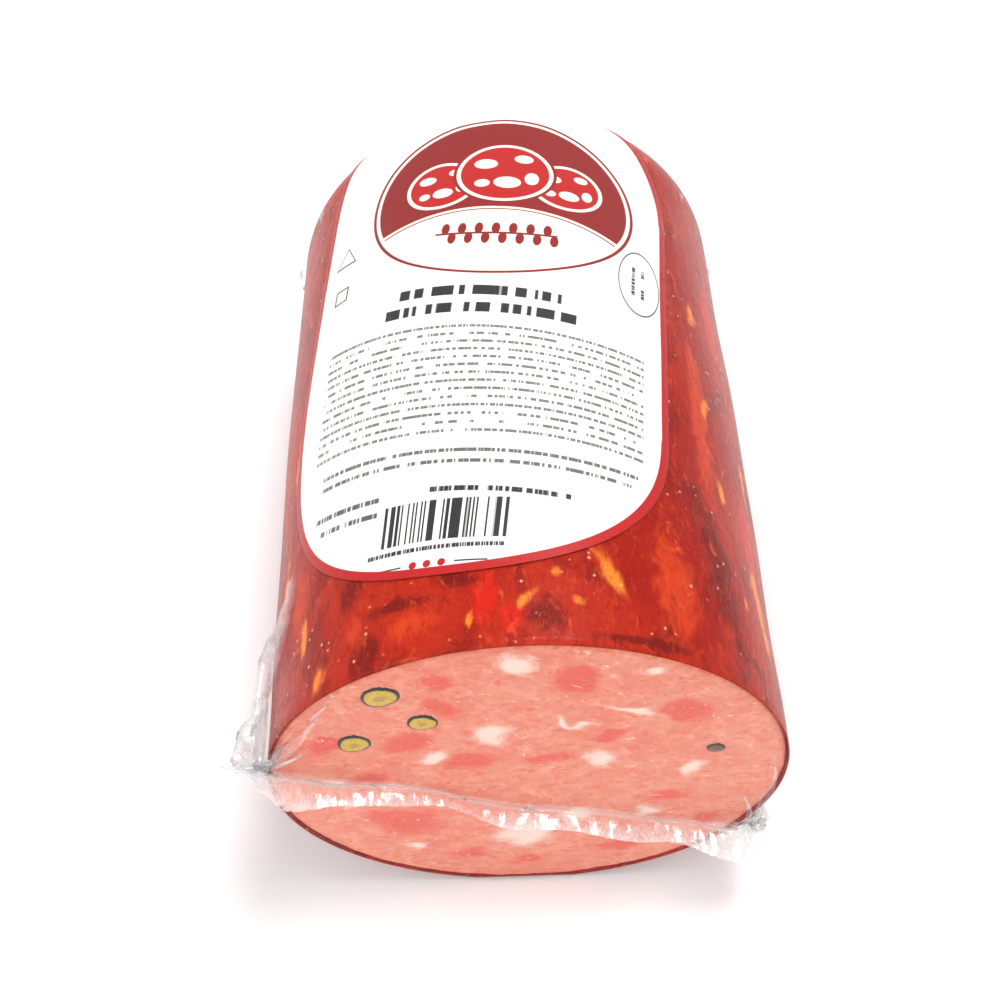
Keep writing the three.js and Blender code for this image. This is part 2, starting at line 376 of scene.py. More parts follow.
def make_peppercorn(name, turn, reach, radius):
    middle = corn_middle(turn, reach)
    columns, rings = 40, 16
    angle = np.linspace(0, 2 * math.pi, columns, endpoint=False)
    share = np.linspace(0, 1, rings)[1:, None]
    unit = np.stack([np.sin(angle), np.cos(angle)], axis=-1)
    wobble = 1 + 0.07 * np.sin(2 * angle + turn) + 0.04 * np.sin(3 * angle + radius)
    flat_share = np.minimum(share / 0.86, 1)
    out = radius * (0.93 * flat_share + 0.07 * share) * wobble
    dish = 0.12 * np.cos(3 * flat_share) - 0.3 * np.clip((flat_share - 0.8) / 0.2, 0, 1) ** 2
    depth = -dish - 0.12 + 2.4 * np.clip((share - 0.86) / 0.14, 0, 1) ** 1.5
    out = out * (1 - 0.35 * np.clip((share - 0.9) / 0.1, 0, 1) ** 2)
    flat = middle + out[..., None] * unit
    grain = 0.06 * lattice_noise(np.concatenate([flat * 2, flat[..., :1]], axis=-1), 1.1)
    points = press(flat[..., 0], depth + grain, flat[..., 1])
    edge = np.append(np.broadcast_to(share, out.shape).ravel(), [0, 1])
    return turned(points, columns, f"{name}_cut", name, {"edge": edge})


corns = {name: make_peppercorn(name, *place) for name, place in PEPPERCORNS.items()}

# %% [markdown]
# ## Peppercorn finish
# A cut corn is olive yellow inside, darker in the middle, with a nearly black skin. Separate meshes
# for heart and skin could show that. The `edge` attribute already says how far out a point is, so
# one material can draw the rings, and noise makes them uneven. The small corn on the right is brown
# all over, so it has colours of its own.

# %% Peppercorn finish


def pepper_finish(name, heart, skin_colour):
    paint = Paint(name)
    where = paint.point()
    edge = paint.attribute("edge")
    grain = paint.noise(where, 1.6, 4, 0.6)
    ring = (edge + (grain - 0.5) * 0.16).ramp(0.64, 0.72)
    pale = paint.mix(grain.ramp(0.35, 0.65), heart, [c * 1.25 for c in heart[:3]] + [1])
    seed = (edge + (grain - 0.5) * 0.3).ramp(0.18, 0.32, 0.45, 0)
    pale = paint.mix(seed, pale, [c * 0.45 for c in heart[:3]] + [1])
    colour = paint.mix(ring, pale, skin_colour)
    return paint.surface(
        base_color=colour, roughness=0.42, normal=paint.bump(grain, 0.15), coat_weight=0.3
    )


green_pepper = pepper_finish("green_pepper", (0.56, 0.37, 0.035, 1), (0.016, 0.012, 0.007, 1))
dark_pepper = pepper_finish("dark_pepper", (0.17, 0.07, 0.045, 1), (0.07, 0.03, 0.02, 1))
for name, corn in corns.items():
    corn.data.materials.append(dark_pepper if name == "peppercorn_4" else green_pepper)
print("pepper finishes:", green_pepper.name, dark_pepper.name)

# %% [markdown]
# ## Meat
# Cooked sausage meat is a fine pink paste that holds coarser lean and fat. The face is what shows,
# so it gets a fine grid of its own. The pieces that stand out are listed one by one: each has a middle
# across and up from the axis, half sizes and a tilt. The smaller ones come from noise. A flat disc
# with a material would be simpler, but the face is slightly uneven and each corn lies in a pit.

# %% Where the coarse pieces lie
FAT_PIECES = [
    (-7, 16.5, 4.2, 3.0, 10),
    (-3, 39, 4.0, 2.2, -5),
    (-22.5, -27.5, 2.8, 2.4, 0),
    (0, -23, 6.5, 5.5, 15),
    (13, 6.5, 3.0, 3.6, 30),
    (18.5, 24, 4.5, 1.0, -25),
    (8, 20, 3.5, 0.9, -35),
    (-18, 9, 4.5, 1.3, 20),
    (10, -15, 5.0, 4.0, 40),
    (24, -14, 3.0, 2.2, 0),
    (31, 3, 2.5, 3.5, 0),
    (-34, -8, 3.0, 2.0, 30),
    (20, 36, 2.5, 1.6, 0),
]
LEAN_PIECES = [
    (8.6, 33, 4.2, 4.4, -20),
    (27.5, 23, 3.0, 4.5, 30),
    (27.5, -8, 5.5, 2.6, 5),
    (-22, 14, 4.6, 3.0, -5),
    (-25, -16, 6.5, 4.6, -10),
    (-11, 7, 5.5, 2.8, 10),
    (-15, 34, 2.6, 2.4, 0),
    (3, 7, 4.8, 1.8, 0),
    (-31, 2, 4.0, 2.6, 20),
    (-12, -31, 3.6, 2.6, 0),
    (-16, 26, 5.0, 2.6, -35),
    (0, -36, 4.0, 2.0, 0),
    (14, 15, 3.4, 1.3, 15),
    (36, -18, 3.0, 3.4, 0),
    (-36, 14, 2.6, 3.4, 0),
    (20, -30, 4.5, 2.4, 20),
]


def nearness(across, up, pieces):
    """1 in the middle of a piece, 0.5 at its edge, falling to 0 outside."""
    total = np.zeros_like(across)
    for x, z, half_x, half_z, tilt in pieces:
        cos, sin = math.cos(math.radians(tilt)), math.sin(math.radians(tilt))
        near_x = ((across - x) * cos + (up - z) * sin) / half_x
        near_z = (-(across - x) * sin + (up - z) * cos) / half_z
        total = np.maximum(total, 1 / (1 + near_x**2 + near_z**2))
    return total


print(f"{len(FAT_PIECES)} fat pieces and {len(LEAN_PIECES)} lean pieces placed")

# %% Meat shape


def make_meat():
    columns = 384
    angle = np.linspace(0, 2 * math.pi, columns, endpoint=False)
    share = np.linspace(0, 1, 100)[1:, None] ** 0.8
    across, up = FACE_RADIUS * share * np.sin(angle), FACE_RADIUS * share * np.cos(angle)
    flat = np.stack([across, up, 0 * across], axis=-1)
    sunk = 0.10 * rough_noise(flat, 5.0) + 0.05 * lattice_noise(flat + 40, 1.3)
    for turn, reach, radius in PEPPERCORNS.values():
        x, z = corn_middle(turn, reach)
        away = np.hypot(across - x, up - z) / radius
        sunk = sunk + 1.6 * (1 - np.clip((away - 0.72) / 0.26, 0, 1)) ** 2
    edge = np.clip((share - 0.97) / 0.03, 0, 1)
    face = press(across, sunk + 0.5 * edge**2 + 0.15, up, FACE_LIFT)
    path = np.concatenate([np.linspace(1.5, SHOULDER, 24), np.linspace(SHOULDER, TIP_PATH, 26)[1:-1]])
    side = skin(path[:, None], angle, FACE_LIFT - 0.1)
    fat = np.zeros((len(face) + len(side), columns))
    lean = fat.copy()
    real_up = up * SQUASH
    warped_x = across + 1.7 * rough_noise(flat, 6.5)
    warped_z = real_up + 1.7 * rough_noise(flat + 90, 6.5)
    fat[: len(face)] = nearness(warped_x, warped_z, FAT_PIECES)
    lean[: len(face)] = nearness(warped_x, warped_z, LEAN_PIECES)
    values = {"fat": np.append(fat.ravel(), [0, 0]), "lean": np.append(lean.ravel(), [0, 0])}
    return turned(np.concatenate([face, side]), columns, "meat", "sausage_meat", values)


meat = make_meat()

# %% [markdown]
# ## Meat finish
# The colour is built up as the sausage is: a pink paste, mottled by noise, then lean pieces, then
# fat. An image would have one fixed size of detail, and noise stays sharp from near. It also shifts
# the edges of the listed pieces, so that none of them looks drawn.

# %% Meat material


def meat_finish():
    paint = Paint("cooked_meat")
    where = paint.point()
    broad = paint.noise(where, 0.11, 3, 0.55)
    mottle = paint.noise(where, 0.35, 4, 0.6, 0.6)
    grain = paint.noise(where, 1.4, 5, 0.65)
    ragged = (mottle - 0.5) * 0.55 + (grain - 0.5) * 0.25
    lean = (paint.attribute("lean") + ragged).ramp(0.32, 0.74)
    fat = (paint.attribute("fat") + ragged * 0.9).ramp(0.36, 0.88)
    shreds = paint.noise(where.scaled((0.55, 1, 1.7)), 0.5, 3, 0.6, 1.2)
    small_lean = shreds.ramp(0.60, 0.70) * broad.ramp(0.40, 0.60)
    flecks = paint.noise(where.scaled((1.0, 1, 1.5)), 0.42, 4, 0.6, 1.6)
    small_fat = flecks.ramp(0.60, 0.74)
    colour = paint.mix(broad.ramp(0.3, 0.7), (0.8, 0.198, 0.122, 1), (0.80, 0.273, 0.178, 1))
    colour = paint.mix(mottle.ramp(0.40, 0.72, 0, 0.7), colour, (0.92, 0.372, 0.25, 1))
    strands = paint.noise(where.scaled((0.6, 1, 1.1)), 0.36, 6, 0.66, 2.2)
    colour = paint.mix(strands.ramp(0.55, 0.70, 0, 0.55), colour, (0.94, 0.459, 0.327, 1))
    colour = paint.mix(strands.ramp(0.48, 0.34, 0, 0.75), colour, (0.78, 0.119, 0.066, 1))
    colour = paint.mix(small_lean * 0.85, colour, (0.8, 0.103, 0.055, 1))
    colour = paint.mix(lean * 0.85, colour, (0.78, 0.075, 0.039, 1))
    colour = paint.mix(small_fat * 0.8, colour, (0.94, 0.66, 0.55, 1))
    colour = paint.mix(fat * 0.92, colour, (0.96, 0.74, 0.64, 1))
    colour = paint.mix(grain.ramp(0.62, 0.80, 0, 0.35), colour, (0.92, 0.523, 0.389, 1))
    relief = grain * 0.5 + mottle + fat * 0.3
    return paint.surface(
        base_color=colour,
        roughness=mottle.ramp(0.3, 0.7, 0.34, 0.5),
        normal=paint.bump(relief, 0.35),
        coat_weight=0.25,
        coat_roughness=0.2,
        subsurface_weight=0.12,
        subsurface_radius=(0.004, 0.0015, 0.001),
    )


meat.data.materials.append(meat_finish())
print("meat finish:", len(meat.data.materials[0].node_tree.nodes), "nodes")

# %% [markdown]
# ## Casing
# The casing is a thin smoked tube, cut flush with the meat in front and gathered by the clip at the
# back. Its shell is one profile that runs from the tail forward over the outside, turns at the cut
# edge and goes back inside. A copy of the meat with a Solidify modifier would be quick, but near the
# neck the tube has far too much width for its radius, and the extra folds into pleats.

# %% What shows through the casing
# Ovals on the unrolled skin: path from the cut, degrees from the top, half length, half width, tilt.
JELLY_PIECES = [
    (8.7, -1, 3.2, 0.9, 47),
    (10, -5.5, 1.5, 0.5, 0),
    (14.5, 16.4, 6.0, 1.5, -27),
    (19, 54, 1.8, 1.0, 0),
    (13.8, 5.2, 1.6, 1.3, 30),
    (8.7, 9.2, 1.2, 1.8, 20),
    (6.2, -11.8, 2.2, 0.45, 10),
    (15.5, -54.5, 5.0, 1.1, 0),
    (4, -48, 2.6, 1.5, 10),
    (43, 51, 3.2, 1.0, 0),
    (64, 49, 3.5, 1.3, 15),
    (20, 63, 13, 2.0, -10),
    (52, 66, 10, 1.4, 0),
    (31, -66, 9, 1.6, 0),
    (58, -62, 6, 1.1, 10),
    (92, 50, 4, 1.2, 0),
    (24, 140, 5, 2.0, 20),
    (60, -150, 6, 2.0, -20),
    (100, 110, 7, 1.6, 0),
    (84, -104, 8, 1.8, 10),
    (30, -112, 7, 1.4, -15),
    (40, 100, 6, 1.6, 10),
]
RED_PIECES = [
    (10.5, -8.6, 6, 3.6, 0),
    (6, -4, 3, 3, 0),
    (38, 62, 12, 4, 0),
    (48, -54, 12, 5, 0),
    (96, 60, 14, 4, 0),
]
DARK_PIECES = [
    (21, 45, 21, 3.4, -14),
    (5.5, 3, 3.6, 3.2, 0),
    (2.2, 23, 0.9, 11, 0),
    (11.5, -27, 1.3, 8, 0),
    (4.5, -33, 3.0, 1.8, 20),
    (18, -40, 4.5, 3.0, 0),
    (14, -14, 1.6, 4.5, 10),
    (40, 78, 16, 3.0, 8),
    (44, -76, 15, 3.0, -8),
    (80, 96, 20, 4.0, 0),
    (100, -90, 18, 4.0, 0),
    (50, 170, 20, 6.0, 0),
    (20, -130, 14, 5.0, 10),
    (16, 110, 12, 4.0, -10),
]
PALE_PIECES = [
    (10, -38, 3.2, 2.4, 0),
    (7, -24, 2.6, 5.5, 0),
    (14, 31, 10, 4.6, -10),
    (60, 46, 22, 2.6, 0),
    (24, -58, 8, 3.0, 0),
    (30, 92, 9, 5.0, 0),
    (60, -100, 11, 5.0, 0),
    (100, 140, 14, 6.0, 0),
    (90, -150, 14, 6.0, 0),
]


def seen_through(path, angle, pieces):
    """`nearness` on the unrolled skin."""
    path, angle = np.broadcast_arrays(path, angle)
    turned_mm = np.degrees(np.arctan2(np.sin(angle), np.cos(angle))) * MM_PER_DEGREE
    unrolled = [(at, turn * MM_PER_DEGREE, *size) for at, turn, *size in pieces]
    return nearness(path, turned_mm, unrolled)


SEEN_THROUGH = {"jelly": JELLY_PIECES, "red": RED_PIECES, "dark": DARK_PIECES, "pale": PALE_PIECES}
print("under the casing:", {key: len(pieces) for key, pieces in SEEN_THROUGH.items()})

# %% Casing shape
PLEATS = 23


def pleat_wave(angle):
    """Uneven pleats round the neck, from -1 to 1."""
    bend = angle + 0.10 * np.sin(3 * angle + 0.5) + 0.06 * np.sin(7 * angle)
    return np.abs(np.sin(PLEATS * bend / 2)) ** 0.7 * 2 - 1 + 0.3 * np.sin(11 * bend + 1)


# Also gives how deep each pleat sinks in, which the finish darkens as painted shade.
def gathered_skin(path, angle, lift, waves):
    close = np.clip((26 - np.interp(path, PATH, OUT)) / 20, 0, 1)[:, None] ** 2
    return skin(path[:, None], angle, lift - 0.9 * close * (1 - waves)), close * (1 - waves)


def make_casing():
    columns = 480
    angle = np.linspace(0, 2 * math.pi, columns, endpoint=False)
    waves = pleat_wave(angle)
    neck_path = float(np.interp(-NECK_RADIUS - 1, -OUT[400:], PATH[400:]))
    barrel = np.linspace(0, 1, 120) ** 1.6 * SHOULDER
    path = np.concatenate([barrel, np.linspace(SHOULDER, neck_path, 50)[1:]])
    outside, folds = gathered_skin(path, angle, 0, waves)
    tail_rings = []
    for share in np.linspace(0, 1, 16):
        along = LENGTH + 0.8 + share * (NECK_LENGTH + TAIL_LENGTH - 0.8)
        flare = max(0.0, (share - 0.5) / 0.5)
        out = NECK_RADIUS + 0.5 * waves - 0.4 + (TAIL_RADIUS - NECK_RADIUS) * flare**1.3
        out = out + flare * (0.8 * waves + 0.5 * np.sin(4 * angle + 2))
        ripple = flare * 0.7 * np.sin(6 * angle + 1)
        tail_rings.append(press(out * np.sin(angle), along + ripple, out * np.cos(angle)))
    hollow = [
        press(out * share * np.sin(angle), along - depth, out * share * np.cos(angle))
        for share, depth in ((0.4, 2.5), (0.75, 1.5))
    ]
    hidden_path = np.concatenate([np.linspace(0, SHOULDER, 16), np.linspace(SHOULDER, neck_path, 14)[1:]])
    inside, _ = gathered_skin(hidden_path, angle, -CASING_WALL, waves)
    rings = np.concatenate([hollow, tail_rings[::-1], outside[::-1], inside])
    shown = slice(len(hollow) + len(tail_rings), len(hollow) + len(tail_rings) + len(path))
    values = {key: np.zeros(rings.shape[:2]) for key in ("folds", *SEEN_THROUGH)}
    # How deep the pleats sink in at the tail and the neck: the finish paints shade into these hollows.
    values["folds"][: shown.start] = 1 - waves
    values["folds"][shown] = folds[::-1]
    for key, pieces in SEEN_THROUGH.items():
        values[key][shown] = seen_through(path[::-1, None], angle, pieces)
    values = {key: np.append(field, [0, 0]) for key, field in values.items()}
    return turned(rings, columns, "casing_skin", "casing", values)


casing = make_casing()

# %% [markdown]
# ## Casing finish
# Smoke has coloured the casing a deep orange red, and the meat shows through it: dark lean, pale
# fat and amber jelly, drawn out along the sausage by the filling. Stretched noise gives the drawn
# look, and a coat gives the wet shine of the casing under its film.

# %% Casing material


def casing_finish():
    paint = Paint("smoked_casing")
    where = paint.point()
    drawn = where.scaled((1, 0.7, 1))
    broad = paint.noise(drawn, 0.045, 3, 0.5, 0.6)
    patches = paint.noise(drawn, 0.13, 5, 0.6, 1.0)
    streaks = paint.noise(where.scaled((1, 0.6, 1)), 0.26, 5, 0.6, 1.6)
    grain = paint.noise(where, 1.1, 5, 0.65)
    ragged = (patches - 0.5) * 1.1 + (streaks - 0.5) * 0.9
    jelly, red, dark, pale = (paint.attribute(name) + ragged for name in SEEN_THROUGH)
    colour = paint.mix(broad.ramp(0.38, 0.62), (0.35, 0.0125, 0.005, 1), (0.44, 0.026, 0.007, 1))
    colour = paint.mix(patches.ramp(0.50, 0.62, 0, 0.8), colour, (0.25, 0.011, 0.006, 1))
    colour = paint.mix(pale.ramp(0.32, 0.75, 0, 0.75), colour, (0.64, 0.064, 0.014, 1))
    colour = paint.mix(red.ramp(0.45, 0.75, 0, 0.85), colour, (0.60, 0.018, 0.006, 1))
    colour = paint.mix(dark.ramp(0.32, 0.78, 0, 0.8), colour, (0.17, 0.007, 0.004, 1))
    colour = paint.mix(streaks.ramp(0.585, 0.72, 0, 0.75), colour, (0.64, 0.095, 0.014, 1))
    colour = paint.mix(jelly.ramp(0.40, 0.95, 0, 0.95), colour, (0.86, 0.26, 0.035, 1))
    fibres = paint.noise(where.scaled((1, 0.5, 1)), 0.75, 6, 0.7, 1.0)
    colour = paint.mix(fibres.ramp(0.52, 0.68, 0, 0.5), colour, (0.15, 0.007, 0.004, 1))
    colour = paint.mix(fibres.ramp(0.46, 0.34, 0, 0.45), colour, (0.56, 0.075, 0.018, 1))
    specks = paint.cells(where, 0.42).ramp(0.16, 0.09) * patches.ramp(0.48, 0.58)
    colour = paint.mix(specks * 0.75, colour, (0.88, 0.50, 0.30, 1))
    # Painted shade: the sunk valleys of the pleats towards the neck and tail are darkened.
    folds = paint.attribute("folds")
    colour = paint.mix(folds.ramp(0.1, 1.6, 0, 0.7), colour, (0.18, 0.010, 0.007, 1))
    relief = streaks * 0.5 + patches
    return paint.surface(
        base_color=colour,
        roughness=grain.ramp(0.3, 0.7, 0.30, 0.42),
        normal=paint.bump(relief + fibres * 0.3, 0.25),
        specular_ior_level=0.10,
        coat_weight=0.07,
        coat_roughness=0.08,
    )


casing.data.materials.append(casing_finish())
print("casing finish:", len(casing.data.materials[0].node_tree.nodes), "nodes")

# %% [markdown]
# ## End clip
# A sausage clip is a soft aluminium wire that a machine closes round the gathered casing. Its two
# legs are pressed flat where they meet. A curve with a bevel would make it too, but a section swept
# along a loop can be flattened just where the legs meet.

# %% Clip shape and finish
CLIP_WIRE = 2.4
CLIP_GAP = 0.3


def make_clip():
    rings, columns = 72, 20
    turn = np.radians(np.linspace(186, 534, rings))[:, None]
    about = np.linspace(0, 2 * math.pi, columns, endpoint=False)
    pressed = 1 - 0.35 * np.clip((np.abs(np.linspace(-1, 1, rings)) - 0.9) / 0.1, 0, 1)[:, None] ** 2
    half = CLIP_WIRE / 2
    flank = np.sign(np.cos(about)) * np.abs(np.cos(about)) ** 0.6
    crown = np.sign(np.sin(about)) * np.abs(np.sin(about)) ** 0.6
    out = NECK_RADIUS + CLIP_GAP + half + half * flank * pressed
    along = LENGTH + NECK_LENGTH / 2 + half * crown * (2 - pressed)
    rings = press(out * np.sin(turn), along, out * np.cos(turn))
    return turned(rings, columns, "clip", "end_clip")


def clip_finish():
    paint = Paint("clip_aluminium")
    where = paint.point()
    scratches = paint.noise(where.scaled((1, 6, 1)), 3.0, 3, 0.6)
    dull = paint.noise(where, 0.6, 3, 0.5)
    return paint.surface(
        base_color=paint.mix(dull, (0.60, 0.61, 0.63, 1), (0.80, 0.81, 0.82, 1)),
        metallic=1.0,
        roughness=dull.ramp(0.3, 0.7, 0.25, 0.42),
        normal=paint.bump(scratches, 0.05),
    )


clip = make_clip()
clip.data.materials.append(clip_finish())
print("clip finish ready")

# %% [markdown]
# ## Label
# The label is one long sheet of coated paper with elliptical ends, stuck over the top of the casing
# and a little turned. It is made flat, so that its print can be laid out in flat millimetres, and
# each flat point is then carried to the skin. A Shrinkwrap modifier would lay it there too, but it
# would stretch the print. Over the rounded end a flat sheet cannot follow, so it puckers there, as
# real paper does.

# %% Label shape
LABEL_HALF_WIDTH, LABEL_HALF_LENGTH, LABEL_END = 42.5, 70.5, 38
LABEL_FULLNESS = 0.9
LABEL_MIDDLE = 85.6
LABEL_ROLL, LABEL_TWIST = math.radians(9), math.radians(7)
LABEL_LIFT = 0.35


def label_lift(across, path):
    """How far the paper stands off the casing: puckered where it bends over the rounded end."""
    angle = across / RADIUS - LABEL_ROLL
    over_end = np.clip((path - SHOULDER + 4) / 22, 0, 1.3)
    pucker = 0.9 * np.sin(angle * 17 + 0.8 * np.sin(angle * 5)) + 0.5 * np.sin(angle * 31 + 2)
    ripple = 0.05 * np.sin(path / 9 + 3 * angle)
    ripple = ripple + 0.03 * lattice_noise(np.stack([across, path, 0 * path], axis=-1), 6)
    return np.maximum(LABEL_LIFT + 0.25 * over_end + 0.45 * pucker * over_end**2 + ripple, 0.12)


def label_top(along, angle):
    """The outside of the label over any point of the sausage, and 0 beside it."""
    path = np.interp(along, ALONG, PATH)
    turn = np.arctan2(np.sin(angle + LABEL_ROLL), np.cos(angle + LABEL_ROLL))
    round_, behind = turn * RADIUS, path - LABEL_MIDDLE
    across = round_ * math.cos(LABEL_TWIST) - behind * math.sin(LABEL_TWIST)
    length = round_ * math.sin(LABEL_TWIST) + behind * math.cos(LABEL_TWIST)
    reach = np.clip((np.abs(length) - LABEL_HALF_LENGTH + LABEL_END) / LABEL_END, 0, None)
    under = 1.02 - np.hypot(across / LABEL_HALF_WIDTH, reach)
    return np.clip(under * 25, 0, 1) * label_lift(round_, path)


def make_label():
    rows, columns = 201, 121
    end_turn = np.linspace(0, math.pi / 2, 60)[1:]
    ends = LABEL_HALF_LENGTH - LABEL_END + LABEL_END * np.sin(end_turn) ** LABEL_FULLNESS
    straight = np.linspace(LABEL_END - LABEL_HALF_LENGTH, LABEL_HALF_LENGTH - LABEL_END, rows - 118)
    length = np.concatenate([-ends[::-1], straight, ends])
    end_width = np.clip(np.cos(end_turn), 0, 1) ** LABEL_FULLNESS
    width = np.concatenate([end_width[::-1], np.ones(len(straight)), end_width])
    width = np.maximum(width, 0.02)[:, None] * LABEL_HALF_WIDTH
    across = np.linspace(-1, 1, columns) * width
    along = np.broadcast_to(length[:, None], across.shape)
    cos, sin = math.cos(LABEL_TWIST), math.sin(LABEL_TWIST)
    turned_across = across * cos + along * sin
    path = LABEL_MIDDLE + along * cos - across * sin
    points = skin(path, turned_across / RADIUS - LABEL_ROLL, label_lift(turned_across, path))
    rim = np.minimum(width - np.abs(across), LABEL_HALF_LENGTH - np.abs(along))
    reach = np.clip((np.abs(along) - LABEL_HALF_LENGTH + LABEL_END) / LABEL_END, 0, 1)
    power = 2 / LABEL_FULLNESS
    curved = (1 - (np.abs(across / LABEL_HALF_WIDTH) ** power + reach**power) ** (1 / power)) * LABEL_END
    rim = np.where(reach > 0, curved, rim)
    flat = np.stack([across, along, rim], axis=-1).reshape(-1, 3)
    faces = grid_faces(rows, columns)
    piece = add_piece("label_sheet", points.reshape(-1, 3), faces, "label", {"flat": flat})
    thick = piece.modifiers.new("paper", "SOLIDIFY")
    thick.thickness, thick.offset = 0.15 * MM, -1
    return piece


label = make_label()

# %% [markdown]
# ## Label print
# The print is drawn by the material in the label's flat millimetres. Each mark is a distance that
# is turned into a soft-edged mask: an oval badge with cut slices in it, plain bars where a title
# would be, broken rows in place of small print, a row of stripes and a line with three dots. An
# image could carry all this, but distances stay sharp from near and need no file. None of it says
# anything.

# %% Marks for the print
INK_EDGE = 0.07


def inked(distance):
    """1 inside a shape whose edge is where the distance is 0."""
    return distance.ramp(-INK_EDGE, INK_EDGE, 1, 0)


def box_mark(x, y, middle_x, middle_y, half_x, half_y):
    return inked((abs(x - middle_x) - half_x).most(abs(y - middle_y) - half_y))


def oval_distance(x, y, middle_x, middle_y, half_x, half_y):
    """How far outside an oval a point is, nearly in millimetres."""
    across, up = (x - middle_x) / half_x, (y - middle_y) / half_y
    return ((across * across + up * up) ** 0.5 - 1) * ((half_x * half_y) ** 0.5)


def broken_rows(paint, x, y, top, pitch, word, gap, seed):
    """Rows of short dashes, as unreadable small print."""
    count = (y * -1 + top) / pitch
    row = paint.add("ShaderNodeMath", {"operation": "FLOOR"}, {0: count})
    height = count - row
    place = paint.add("ShaderNodeCombineXYZ", None, {0: x / word, 1: row * 3.7 + seed})
    words = paint.noise(place, 1.0, 0)
    letters = paint.noise(place.scaled((5.2, 1, 1)), 1.0, 1)
    body = height.ramp(0.24, 0.32) * height.ramp(0.58, 0.66, 1, 0)
    return body * words.ramp(gap, gap + 0.05) * letters.ramp(0.40, 0.50)


print("print marks ready")

# %% Label finish
PAPER = (0.83, 0.81, 0.79, 1)
DARK_RED = (0.27, 0.009, 0.008, 1)
BORDER_RED = (0.47, 0.006, 0.006, 1)
CREAM = (0.93, 0.83, 0.74, 1)
BLACK = (0.025, 0.025, 0.028, 1)
BADGE = (3.0, 28.0, 30.0, 25.5)
SLICES = [(-10.5, 31.0, 8.2), (17.0, 32.0, 8.2), (3.2, 34.5, 10.6)]
FLECKS = [
    (-3.4, 2.2, 2.0, 1.3),
    (2.9, 3.9, 1.6, 1.1),
    (0.6, -2.6, 2.3, 1.5),
    (4.6, -1.2, 1.2, 1.6),
    (-3.6, -2.9, 1.3, 1.0),
]


def badge(paint, x, y, colour):
    """An oval badge: three cut slices over a cream band."""
    edge = oval_distance(x, y, *BADGE)
    colour = paint.mix(inked(edge - 0.1), colour, DARK_RED)
    colour = paint.mix(inked(edge + 0.6), colour, CREAM)
    field = inked(edge + 1.5)
    colour = paint.mix(field, colour, DARK_RED)
    band = oval_distance(x, y, BADGE[0], BADGE[1] - 22, 40, 17)
    colour = paint.mix(field * inked(band), colour, CREAM)
    colour = paint.mix(field * inked(abs(band + 1.3) - 0.25), colour, DARK_RED)
    for middle_x, middle_y, size in SLICES:
        rim = oval_distance(x, y, middle_x, middle_y, size, size * 0.92)
        colour = paint.mix(inked(rim - 0.7), colour, DARK_RED)
        colour = paint.mix(inked(rim), colour, CREAM)
        colour = paint.mix(inked(rim + 0.9), colour, BORDER_RED)
        for across, up, half_x, half_y in FLECKS:
            share = size / 8.2
            fleck = oval_distance(
                x, y, middle_x + across * share, middle_y + up * share, half_x * share, half_y * share
            )
            colour = paint.mix(inked(fleck), colour, CREAM)
    sprig = abs(y - 14.5 - (x - BADGE[0]) * (x - BADGE[0]) * 0.004) - 0.3
    stem = inked(sprig.most(abs(x - BADGE[0]) - 13))
    colour = paint.mix(stem * field, colour, DARK_RED)
    for i in range(-3, 4):
        leaf_x = BADGE[0] + i * 3.6
        leaf_y = 14.5 + (i * 3.6) ** 2 * 0.004
        leaf = oval_distance(x, y, leaf_x, leaf_y + 1.5, 0.9, 1.7).least(
            oval_distance(x, y, leaf_x + 1.6, leaf_y - 1.5, 0.9, 1.7)
        )
        colour = paint.mix(inked(leaf) * field, colour, DARK_RED)
    return colour


